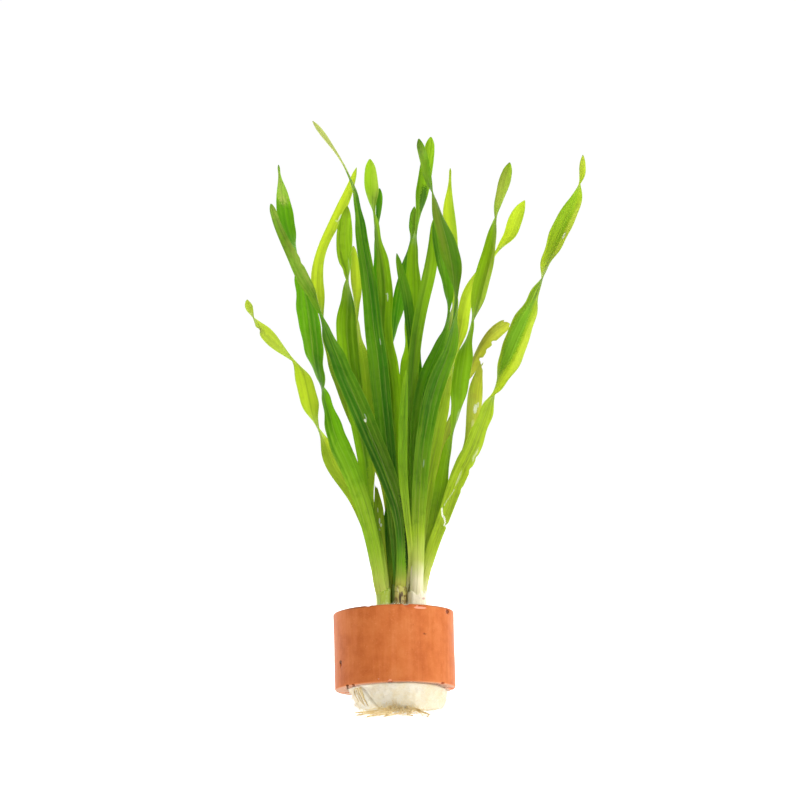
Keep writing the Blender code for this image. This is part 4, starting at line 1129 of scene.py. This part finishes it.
def leaf_widths(route):
    """The leaf's true width by height: what is seen where it faces the front, below its first turn
    and above its last one."""
    faces = faces_of(route)
    knots = []
    for face in faces:
        widest = max(range(len(face)), key=lambda index: face[index][2])
        first = 0 if face is faces[0] else widest
        last = len(face) - 1 if face is faces[-1] else widest
        knots += [(height, width) for across, height, width in face[first : last + 1]]
    return knots


def leaf_turns(route, widths):
    """The leaf's angle from facing the front by height, in degrees: how much it has turned to be
    seen that narrow."""
    faces = faces_of(route)
    knots = []
    for number, face in enumerate(faces):
        widest = max(range(len(face)), key=lambda index: face[index][2])
        for index, (across, height, seen) in enumerate(face):
            share = seen / max(smooth_value(widths, height), seen)
            away = math.degrees(math.acos(share))
            if index == widest or (face is faces[0] and index < widest):
                away = 0
            turned = away if index > widest else -away
            knots.append((height, 180 * number + turned))
    edge_on = [row[1] for row in route if row[2] == 0]
    knots += [(height, 180 * number + 90) for number, height in enumerate(edge_on)]
    return sorted(knots)


def leaf_middle(route, reach, foot_depth, height):
    """The leaf's middle at a height in the front view, moved back along the line of sight."""
    across = smooth_value([(row[1], row[0]) for row in route], height) * MM
    share = max(0, (height - LEAF_FOOT) / (route[-1][1] - LEAF_FOOT))
    behind = foot_depth + (reach * MM - foot_depth) * share**REACH_POWER
    away = 1 + (behind - foot_depth * (1 - share)) / EYE_DISTANCE
    return Vector((across * away, behind, EYE_HEIGHT + (height * MM - EYE_HEIGHT) * away))


def leaf_heights(tip):
    """Heights of the cross-sections, closer together in the rounded tip."""
    full = tip - LEAF_TIP_ROUND
    count = round((full - LEAF_START) / LEAF_STEP)
    heights = [LEAF_START + (full - LEAF_START) * step / count for step in range(count)]
    return heights + [full + (tip - full) * math.sin(math.pi / 2 * step / 10) for step in range(11)]


def evened(values, reach=6):
    """Values along a leaf with the kinks between its rows smoothed away. The ends stay."""
    result = list(values)
    for index in range(1, len(values) - 1):
        span = min(reach, index, len(values) - 1 - index)
        total, weight = values[index] * 0, 0
        for off in range(-span, span + 1):
            share = math.exp(-2 * (off / reach) ** 2)
            total += values[index + off] * share
            weight += share
        result[index] = total / weight
    return result


def cut_away(bites, edge, height, seed):
    """How much of one edge's half of the leaf is gone at a height."""
    gone = 0
    for bite in bites:
        if bite.edge == edge:
            off = (height - bite.height) / bite.half_length
            ragged = 0.25 * noise.noise(Vector((height * 2.3, edge, seed)))
            gone = max(gone, bite.depth * MM * max(0, 1 - off * off) * (1 + ragged))
    return gone


def leaf_course(leaf, plantlet, place):
    """The leaf's cross-sections from its foot to its tip: height, middle, direction, width and turn."""
    crown_width = 2 * plantlet.half_width * math.sqrt(1 - (place / plantlet.half_depth) ** 2)
    foot_width = crown_width - LEAF_FOOT_MARGIN
    foot_depth = depth_behind(CROWN_TOP * MM) + place * MM
    route = ((plantlet.middle, LEAF_FOOT, foot_width), *leaf.route)
    widths = [(LEAF_FOOT, foot_width), *leaf_widths(leaf.route)]
    turns = [(LEAF_FOOT, 0), *leaf_turns(leaf.route, widths)]
    heights = leaf_heights(route[-1][1])
    middles = [leaf_middle(route, leaf.reach, foot_depth, height) for height in heights]
    for height, middle in zip(heights, middles):
        if height < LEAF_FOOT:
            middle.z = height * MM
    middles = evened(middles)
    ways = [after - before for before, after in zip(middles[:1] + middles, middles[1:] + middles[-1:])]
    alongs = [Vector((0, 0, 1)), *[way.normalized() for way in ways[1:]]]
    true_widths = evened([smooth_value(widths, height) * MM for height in heights])
    true_turns = evened([leaf.hand * math.radians(smooth_value(turns, height)) for height in heights])
    return zip(heights, middles, alongs, true_widths, true_turns)


def make_leaf(key, leaf, plantlet, crowd, seed):
    """A twisted ribbon with a shallow gutter, rippled edges and a lens-shaped cross-section."""
    place = (leaf.order - (crowd - 1) / 2) * LEAF_PITCH
    tip = leaf.route[-1][1]
    draw = random.Random(seed)
    wave, phase, other_phase = [draw.uniform(*ends) for ends in (LEAF_WAVES, LEAF_PHASES, LEAF_PHASES)]
    bites, torn = LEAF_BITES.get(key, ()), TORN_TIPS.get(key, 0)
    shares = [math.sin(math.pi / 2 * (2 * column / LEAF_COLUMNS - 1)) for column in range(LEAF_COLUMNS + 1)]
    bm = bmesh.new()
    uv = bm.loops.layers.uv.new("leaf")
    breadth = bm.verts.layers.float.new("breadth")
    rows, spots = [], {}
    for height, middle, along, width, turn in leaf_course(leaf, plantlet, place):
        across = along.cross(Vector((0, -1, 0))).normalized()
        side = across * math.cos(turn) + along.cross(across) * math.sin(turn)
        face = side.cross(along)
        left = tip - height
        if left < LEAF_TIP_ROUND and not torn:
            width *= math.sqrt(1 - 0.97 * (1 - left / LEAF_TIP_ROUND) ** 2)
        width = max(width, LEAF_TIP_WIDTH * MM * min(1, 0.35 + left))
        grown = soft_step(*LEAF_FREE, height)
        fine = soft_step(0, 3, left)
        thinned = (LEAF_THICKNESS - LEAF_BASE_THICKNESS) * soft_step(*LEAF_THINS, height)
        thick = LEAF_BASE_THICKNESS + thinned
        thick *= (0.55 + 0.45 * fine) * MM
        hug = LEAF_HUG * place * MM * (1 - grown)
        gutter = LEAF_GUTTER * width * grown * fine
        ripple = LEAF_RIPPLE * width * grown * fine
        front, rear = [], []
        for share in shares:
            edge = 1 if share > 0 else -1
            half = max(width / 2 - cut_away(bites, edge, height, seed), width * 0.08)
            swing = 2 * math.pi * height / wave + (phase if edge > 0 else other_phase)
            curl = ripple * share * share * edge * math.sin(swing)
            bend = hug * share * share + gutter * (share * share - 0.4) + curl
            at = middle + side * half * share + face * bend
            if torn and left < torn * 1.5:
                back_by = torn * MM * (0.5 + noise.noise(Vector((share * 3.1, seed, 0.5))))
                at -= along * back_by * (1 - left / (torn * 1.5))
            swell = face * thick / 2 * math.sqrt(max(0, 1 - abs(share) ** 3)) * 0.98
            spot = ((share + 1) / 2, height / UV_HEIGHT)
            front.append((at + swell, spot))
            if abs(share) < 0.999:
                rear.append((at - swell, spot))
        row = []
        for at, spot in front + rear[::-1]:
            vert = bm.verts.new(at)
            vert[breadth] = width / MM
            spots[vert] = spot
            row.append(vert)
        rows.append(row)
    add_walls(bm, [row + row[:1] for row in rows])
    for row in (rows[0], rows[-1]):
        bm.faces.new((row[0], row[1], row[-1]))
        for column in range(1, LEAF_COLUMNS - 1):
            bm.faces.new((row[column], row[column + 1], row[-column - 1], row[-column]))
        bm.faces.new(row[LEAF_COLUMNS - 1 : LEAF_COLUMNS + 2])
    for made in bm.faces:
        for loop in made.loops:
            loop[uv].uv = spots[loop.vert]
    return bm


def make_leaf_finish(key, look, marks, seed):
    """A leaf's own greens, with lengthwise veins and mottling, halves painted lighter and darker as light and
    shade across a fold, and a rim painted paler for the light its thin edge lets through. It lets light
    through.
    """
    finish, tree = finish_tree("leaf_" + key)
    across = tree.parts(tree.add("ShaderNodeUVMap", {"uv_map": "leaf"}))
    along = across.out(1)
    place = tree.place()
    beside = (across - 0.5) * tree.painted("breadth")
    words = look.greens.split()
    stops = [(float(height) / UV_HEIGHT, GREENS[green]) for height, green in zip(words[::2], words[1::2])]
    drift = 0.05 * tree.grain(place, 90, 2) - 0.025
    base = tree.ramp(along + drift, *stops)
    broad = tree.grain(tree.joined(beside * 1.6, along * 7, seed), 1, 2, 0.55)
    fine = tree.grain(tree.joined(beside * 4.6, along * 12, seed), 1, 2, 0.6)
    sides = tree.grain(tree.joined(beside * 0.5, along * 5, seed * 3.7), 1, 2, 0.6)
    mottle = tree.grain(place, 420, 3, 0.6)
    # Painted light and shade: beside a wavering fold line, one half of the leaf is painted lighter and the
    # other darker, as if lit and shaded across the fold.
    waver = tree.grain(tree.joined(along * 4, seed * 2.3), 1, 1)
    fold = tree.step(beside + 2.4 * waver - 1.2, -0.12, 0.12)
    painted_lit_half = fold if seed % 2 else 1 - fold
    off = abs(across - 0.5) * 2
    rib = tree.step(off, 0.09, 0.02)
    veins = tree.step((across * 8 * math.pi).maths("COSINE"), 0.4, 0.98)
    green = tree.step(along, 36 / UV_HEIGHT, 60 / UV_HEIGHT)
    layers = (
        (0.5 * green * tree.step(sides, 0.48, 0.3), "dark"),
        (0.5 * green * tree.step(sides, 0.52, 0.7), "spring"),
        # The painted lit half and the painted shaded half.
        (0.3 * green * painted_lit_half, "spring"),
        (0.25 * green * (1 - painted_lit_half), "dark"),
        (0.5 * green * tree.step(broad, 0.5, 0.34), "dark"),
        (0.45 * green * tree.step(broad, 0.52, 0.68), "spring"),
        (0.35 * green * tree.step(fine, 0.5, 0.34), "dark"),
        (0.2 * tree.step(fine, 0.52, 0.7), "pale"),
        (0.16 * green * veins, "pale"),
    )
    for share, name in layers:
        base = tree.blend(share, base, GREENS[name])
    base = tree.blend(0.3 * green * tree.step(mottle, 0.5, 0.32), base, GREENS["mid"], "MULTIPLY")
    # Painted light: the rim is painted paler for the light that its thin edge lets through.
    base = tree.blend(0.3 * tree.step(off, 0.86, 0.99), base, GREENS["spring"])
    base = tree.blend(0.12 * rib, base, GREENS["pale"])
    ragged = 2.6 * tree.grain(place, 2900, 2, 0.7) - 1.3
    base, shown = marked(tree, base, beside, along * UV_HEIGHT, marks, ragged)
    height = 0.6 * broad + 0.5 * fine + 0.25 * mottle + 0.6 * rib + 0.3 * veins
    # Less light comes through the thick foot and through marks.
    through = tree.step(along, 33 / UV_HEIGHT, 72 / UV_HEIGHT) * 0.42 + 0.14
    through = through * (0.3 + 0.5 * broad + 0.65 * sides + 0.2 * painted_lit_half)
    if shown is not None:
        through = through * (1 - 0.8 * tree.step(shown, 0.6, 0.85))
    tree.surface(
        {"Base Color": base, "Roughness": 0.36 + 0.2 * mottle, "Specular IOR Level": 0.1,
         "Normal": tree.relief(height, 0.00014)},
        GLOWS[look.glow], through,
    )
    return finish


seed = 0
for side, plantlet in PLANTLETS.items():
    for number, leaf in enumerate(LEAVES[side], 1):
        seed += 1
        key = f"{side}_{number}"
        finish = make_leaf_finish(key, LEAF_LOOKS[key], LEAF_MARKS.get(key, ()), seed)
        blade = make_leaf(key, leaf, plantlet, len(LEAVES[side]), seed)
        dress(f"leaf_{key}_blade", blade, finish, [f"leaf_{key}"])

# Young leaves: short ones between the plantlets' feet, mostly hidden, that close the gaps there.
YOUNG_LEAVES = {
    "left": (
        Leaf(3.4, 6, 1, ((-2.5, 36, 3.2), (-2.2, 42, 3.2), (-2.2, 48, 2.8), (-2.4, 53, 2.3), (-2.6, 56, 1.4),
                         (-2.7, 58, 0.7))),
        LeafLook("green", "31 pale 39 lime 43 fresh 49 dark 63 dark"),
    ),
    "middle": (
        Leaf(6.6, 10, -1, ((0.1, 36, 3.6), (-0.5, 42, 3.6), (-0.9, 50, 3.4), (-1.3, 58, 3), (-1.6, 64, 2),
                           (-1.8, 68, 0.8))),
        LeafLook("green", "31 olive 36 mid 44 dark 68 dark"),
    ),
    "right": (
        Leaf(5.4, 5, 1, ((5.2, 35, 3.4), (4.9, 41, 3.2), (4.9, 48, 2.8), (5.1, 55, 2.4), (5.3, 61, 1.6),
                         (5.5, 65, 0.7))),
        LeafLook("fresh", "31 white 37 pale 47 lime 65 fresh"),
    ),
}
for side, (leaf, look) in YOUNG_LEAVES.items():
    seed += 1
    finish = make_leaf_finish(side + "_young", look, (), seed)
    blade = make_leaf(side + "_young", leaf, PLANTLETS[side], len(LEAVES[side]), seed)
    dress(f"leaf_{side}_young", blade, finish)

# Roots: straw-coloured threads that leave the fleece under the ring, fall to the surface and lie along it
# in a loose fan, each main root with thinner ones beside it and hair-fine side roots.
Root = namedtuple("Root", "plantlet route")
ROOTS = [
    Root("left", ((-3.4, 2.6, 13.6), (-3, 0.5, 7.6), (-2.8, -6, 3.4), (-3, -13, 2.6),
                  (-4, -17, 0.8), (-7, -23, 0.5), (-11.5, -28, 0.5))),
    Root("left", ((-2.2, 3.6, 13.6), (-1.7, 0.6, 7.6), (-1.5, -6, 3.5), (-1.3, -13, 2.7),
                  (-1.6, -17.5, 0.8), (-3.6, -25, 0.5), (-8.5, -32, 0.5), (-11, -38, 0.5))),
    Root("middle", ((0.4, 3.4, 13.6), (-0.3, 0.5, 7.8), (-0.2, -6, 3.4), (0, -13, 2.7),
                    (-0.3, -18, 0.9), (-1.4, -26, 0.5), (-5.2, -34, 0.5), (-8, -43, 0.5))),
    Root("middle", ((1.8, 3.4, 13.6), (1.1, 0.6, 7.8), (1.1, -6, 3.5), (1.3, -13, 2.6),
                    (1.4, -18, 0.8), (1.4, -27, 0.5), (-1.6, -35, 0.5), (-3, -40, 0.5))),
    Root("right", ((4.8, 3, 13.6), (2.9, 0.6, 7.8), (2.5, -6, 3.4), (2.7, -13, 2.7),
                   (3.2, -18, 0.8), (4.4, -26, 0.5), (3.4, -34, 0.5), (5, -39, 0.5))),
    Root("right", ((6.6, 3, 13.6), (4.6, 0.5, 7.8), (3.9, -6, 3.5), (4.2, -13, 2.6),
                   (5.2, -17, 0.8), (7.6, -24, 0.5), (9.4, -33, 0.5), (9, -44, 0.5))),
]
ROOT_RADIUS = 0.45
ROOT_SIDES = 7
SIDE_ROOTS = 8
SIDE_ROOT_SIDES = 5
ROOT_STEPS = 14
# How many points of a root's route leave the fleece, and how high the others lie at most.
LIFTED_POINTS = 3
LYING_HEIGHT = 1.0
# In metres: hairs grow only on what lies in front of this, out of the fleece.
HAIRS_FROM = -0.0125


def smooth_route(points, steps):
    """Points along a smooth curve through the route's own points."""
    ends = [points[0], *points, points[-1]]
    route = []
    for before, start, end, after in zip(ends, ends[1:], ends[2:], ends[3:]):
        for step in range(steps):
            t = step / steps
            route.append(
                0.5 * (2 * start + (end - before) * t
                       + (2 * before - 5 * start + 4 * end - after) * t**2
                       + (3 * start - before - 3 * end + after) * t**3)
            )
    route.append(points[-1])
    return route


def add_strand(bm, points, radii, sides):
    """A closed tube through points in millimetres, as thick as its radii."""
    rings = []
    side = Vector((1, 0, 0))
    for index, (point, radius) in enumerate(zip(points, radii)):
        along = (points[min(index + 1, len(points) - 1)] - points[max(index - 1, 0)]).normalized()
        side = (side - along * side.dot(along)).normalized()
        up = along.cross(side)
        ring = []
        for turn in range(sides):
            angle = 2 * math.pi * turn / sides
            ring.append(bm.verts.new((point + (side * math.cos(angle) + up * math.sin(angle)) * radius) * MM))
        rings.append(ring)
    add_tube(bm, rings)


def lowered(point, radius):
    """A root's point kept on the surface and inside the CAD's box."""
    low = cad_box[0][1] / MM + radius + 0.02
    return Vector((point.x, max(point.y, low), max(point.z, radius + 0.02)))


def make_root(number, root):
    """The main root, with thinner ones that start beside it and wander off it."""
    draw = random.Random(100 + number)
    bm = bmesh.new()
    points = [Vector(point) for point in root.route]
    for point in points[LIFTED_POINTS:]:
        point.z = min(point.z, LYING_HEIGHT)
    points = smooth_route(points, ROOT_STEPS)
    last = len(points) - 1
    radii = [ROOT_RADIUS * (1 - 0.6 * (index / last) ** 1.6) for index in range(last + 1)]
    radii[-1] = 0.05
    points = [lowered(point, radius) for point, radius in zip(points, radii)]
    add_strand(bm, points, radii, ROOT_SIDES)
    for strand in range(SIDE_ROOTS):
        start = round(last * draw.uniform(0.3, 0.42))
        end = round(last * draw.uniform(0.55, 1.0))
        thick = draw.uniform(0.09, 0.24)
        drift = Vector((draw.uniform(-2.8, 2.8), draw.uniform(-2.5, 2.5), 0))
        lift = draw.uniform(-0.5, 1.3)
        shift = Vector((draw.uniform(-0.6, 0.6), 0, draw.uniform(-0.4, 0.7)))
        path, widths = [], []
        for index in range(start, end + 1):
            share = (index - start) / max(1, end - start)
            sway = 0.55 * share * Vector((
                noise.noise(Vector((index * 0.13, strand, number))),
                noise.noise(Vector((index * 0.13, strand + 9, number))),
                0,
            ))
            hump = Vector((0, 0, lift * math.sin(math.pi * min(1, share * 1.2)) * (1 - share)))
            radius = thick * (1 - 0.7 * share)
            path.append(lowered(points[index] + shift + drift * share**1.4 + sway + hump, radius))
            widths.append(radius)
        if len(path) > 3:
            add_strand(bm, path, widths, SIDE_ROOT_SIDES)
    return bm


def make_root_finish():
    """Straw-coloured root skin, paler along its length here and there and browner towards the tips."""
    finish, tree = finish_tree("root_skin")
    place = tree.place()
    patches = tree.grain(place, 330, 3, 0.6)
    skin = tree.grain(place, 3000, 2, 0.6)
    base = tree.ramp(
        patches, (0.3, colour(228, 202, 134)), (0.5, colour(242, 224, 168)), (0.7, colour(252, 243, 214))
    )
    ends = tree.step(tree.parts(place).out(1), -0.024, -0.042)
    base = tree.blend(0.55 * ends * tree.step(patches, 0.6, 0.4), base, colour(150, 112, 62))
    base = tree.blend(0.25 * tree.step(skin, 0.55, 0.7), base, colour(252, 246, 222))
    tree.surface(
        {"Base Color": base, "Roughness": 0.5 + 0.2 * patches, "Normal": tree.relief(skin, 0.00005)},
        colour(240, 214, 140), 0.25,
    )
    return finish


root_skin = make_root_finish()
root_meshes = []
for number, root in enumerate(ROOTS, 1):
    piece = dress(f"root_{number}_bundle", make_root(number, root), root_skin, [f"root_{number}"])
    root_meshes.append(piece.data)

whole = bmesh.new()
for mesh in root_meshes:
    whole.from_mesh(mesh)
inside = [face for face in whole.faces if face.calc_center_median().y > HAIRS_FROM]
bmesh.ops.delete(whole, geom=inside, context="FACES")
root_field = bpy.data.meshes.new("root_field")
whole.to_mesh(root_field)
whole.free()
fuzz_on(
    "root_hairs", root_field, root_skin,
    {"Density": 0.45e6, "Length": 0.0024, "Thickness": 0.00003, "Least Tilt": 0.9, "Most Tilt": 1.5,
     "Seed": 3},
)

# Loose strands: a few dry roots caught between the ring and the fleece at the left, lying on the fleece.
# Each is given by how far across and how high it is seen from the front, in millimetres.
STRAND_STEPS = 8
STRAND_SIDES = 6
STRAND_GAP = 0.22
STRANDS = (
    ((-11.6, 6.4), (-10.9, 4.6), (-9.9, 2.6), (-8.6, 1.2)),
    ((-11.0, 6.5), (-10.4, 4.8), (-9.6, 3.0), (-8.9, 1.6)),
    ((-10.4, 6.6), (-9.8, 5.0), (-8.9, 3.2), (-7.8, 1.3)),
    ((-11.9, 5.9), (-11.6, 4.4), (-11.0, 3.2), (-10.6, 2.2)),
    ((-10.0, 6.6), (-9.5, 5.2), (-9.1, 3.9), (-8.9, 2.7)),
)


def make_loose_strands(surface):
    """Thin strands laid on the front of a surface, by their places in the front view."""
    skin = BVHTree.FromPolygons(
        [vert.co for vert in surface.vertices], [list(face.vertices) for face in surface.polygons]
    )
    bm = bmesh.new()
    for number, strand in enumerate(STRANDS):
        route = smooth_route([Vector((across, 0, height)) for across, height in strand], STRAND_STEPS)
        points = []
        for point in route:
            hit = skin.ray_cast(Vector((point.x * MM, -0.03, point.z * MM)), Vector((0, 1, 0)))[0]
            if hit:
                points.append(hit / MM + Vector((0, -STRAND_GAP, 0)))
        if len(points) > 4:
            thick = 0.2 + 0.05 * (number % 3)
            last = len(points) - 1
            radii = [thick * (1 - 0.75 * (index / last) ** 2) for index in range(last + 1)]
            add_strand(bm, points, radii, STRAND_SIDES)
    return bm


dress("loose_strands", make_loose_strands(fleece.data), root_skin)

# Floor: a plain pale ground under the plant, not part of it.
FLOOR_HALF = 4.0
bm = bmesh.new()
bmesh.ops.create_circle(bm, cap_ends=True, segments=96, radius=FLOOR_HALF)
floor_mesh = bpy.data.meshes.new("floor")
bm.to_mesh(floor_mesh)
bm.free()
floor = bpy.data.objects.new("floor", floor_mesh)
bpy.context.scene.collection.objects.link(floor)
paper, tree = finish_tree("paper")
tone = tree.blend(tree.grain(tree.place(), 40, 3), colour(247, 247, 246), colour(252, 252, 251))
tree.surface(
    {"Base Color": tone, "Roughness": 0.9, "Emission Color": (1, 1, 1, 1), "Emission Strength": 0.5}
)
floor_mesh.materials.append(paper)

# Light: white all round, a soft key from the right front, a broad panel behind that shines through the
# leaves, and a tall strip at the left that the clay mirrors along its edge.
SKY = 0.56


def add_panel(name, place, target, size, watts):
    """A rectangular lamp that faces its target and isn't seen itself."""
    lamp = bpy.data.lights.new(name, "AREA")
    lamp.shape = "RECTANGLE"
    lamp.size, lamp.size_y = size
    lamp.energy = watts
    panel = bpy.data.objects.new(name, lamp)
    panel.location = place
    panel.rotation_euler = (Vector(target) - Vector(place)).to_track_quat("-Z", "Y").to_euler()
    panel.visible_camera = False
    bpy.context.scene.collection.objects.link(panel)


add_panel("key", (0.85, -0.75, 0.7), (0, 0, 0.07), (0.5, 0.5), 7.6)
add_panel("top", (0.1, 0.1, 1.3), (0, 0, 0), (1.4, 1.4), 6.0)
add_panel("behind", (-0.05, 1.0, 0.35), (0, 0, 0.08), (1.6, 0.8), 11.0)
add_panel("left_strip", (-0.75, 0.42, 0.2), (0, 0, 0.02), (0.5, 0.6), 2.2)

world = bpy.data.worlds.new("studio")
bpy.context.scene.world = world
world.use_nodes = True
tree = Tree(world.node_tree)
seen = tree.add("ShaderNodeLightPath")
toward = tree.parts(tree.add("ShaderNodeTexCoord", output=0))
studio = SKY + 0.26 * toward + 0.26 * toward.out(1)
strength = studio + seen * (1.02 - studio)
air = tree.add("ShaderNodeBackground", None, {"Color": (1, 1, 1, 1), "Strength": strength})
tree.add("ShaderNodeOutputWorld", None, {"Surface": air})

# Camera: level with the middle of the plant and in front of it, as in the photograph.
lens = bpy.data.cameras.new("camera")
lens.lens = 201.7
camera = bpy.data.objects.new("camera", lens)
camera.location = (0.0009, -EYE_DISTANCE, EYE_HEIGHT)
camera.rotation_euler = (math.pi / 2, 0, 0)
bpy.context.scene.collection.objects.link(camera)
bpy.context.scene.camera = camera
bpy.context.scene.view_settings.view_transform = "Standard"
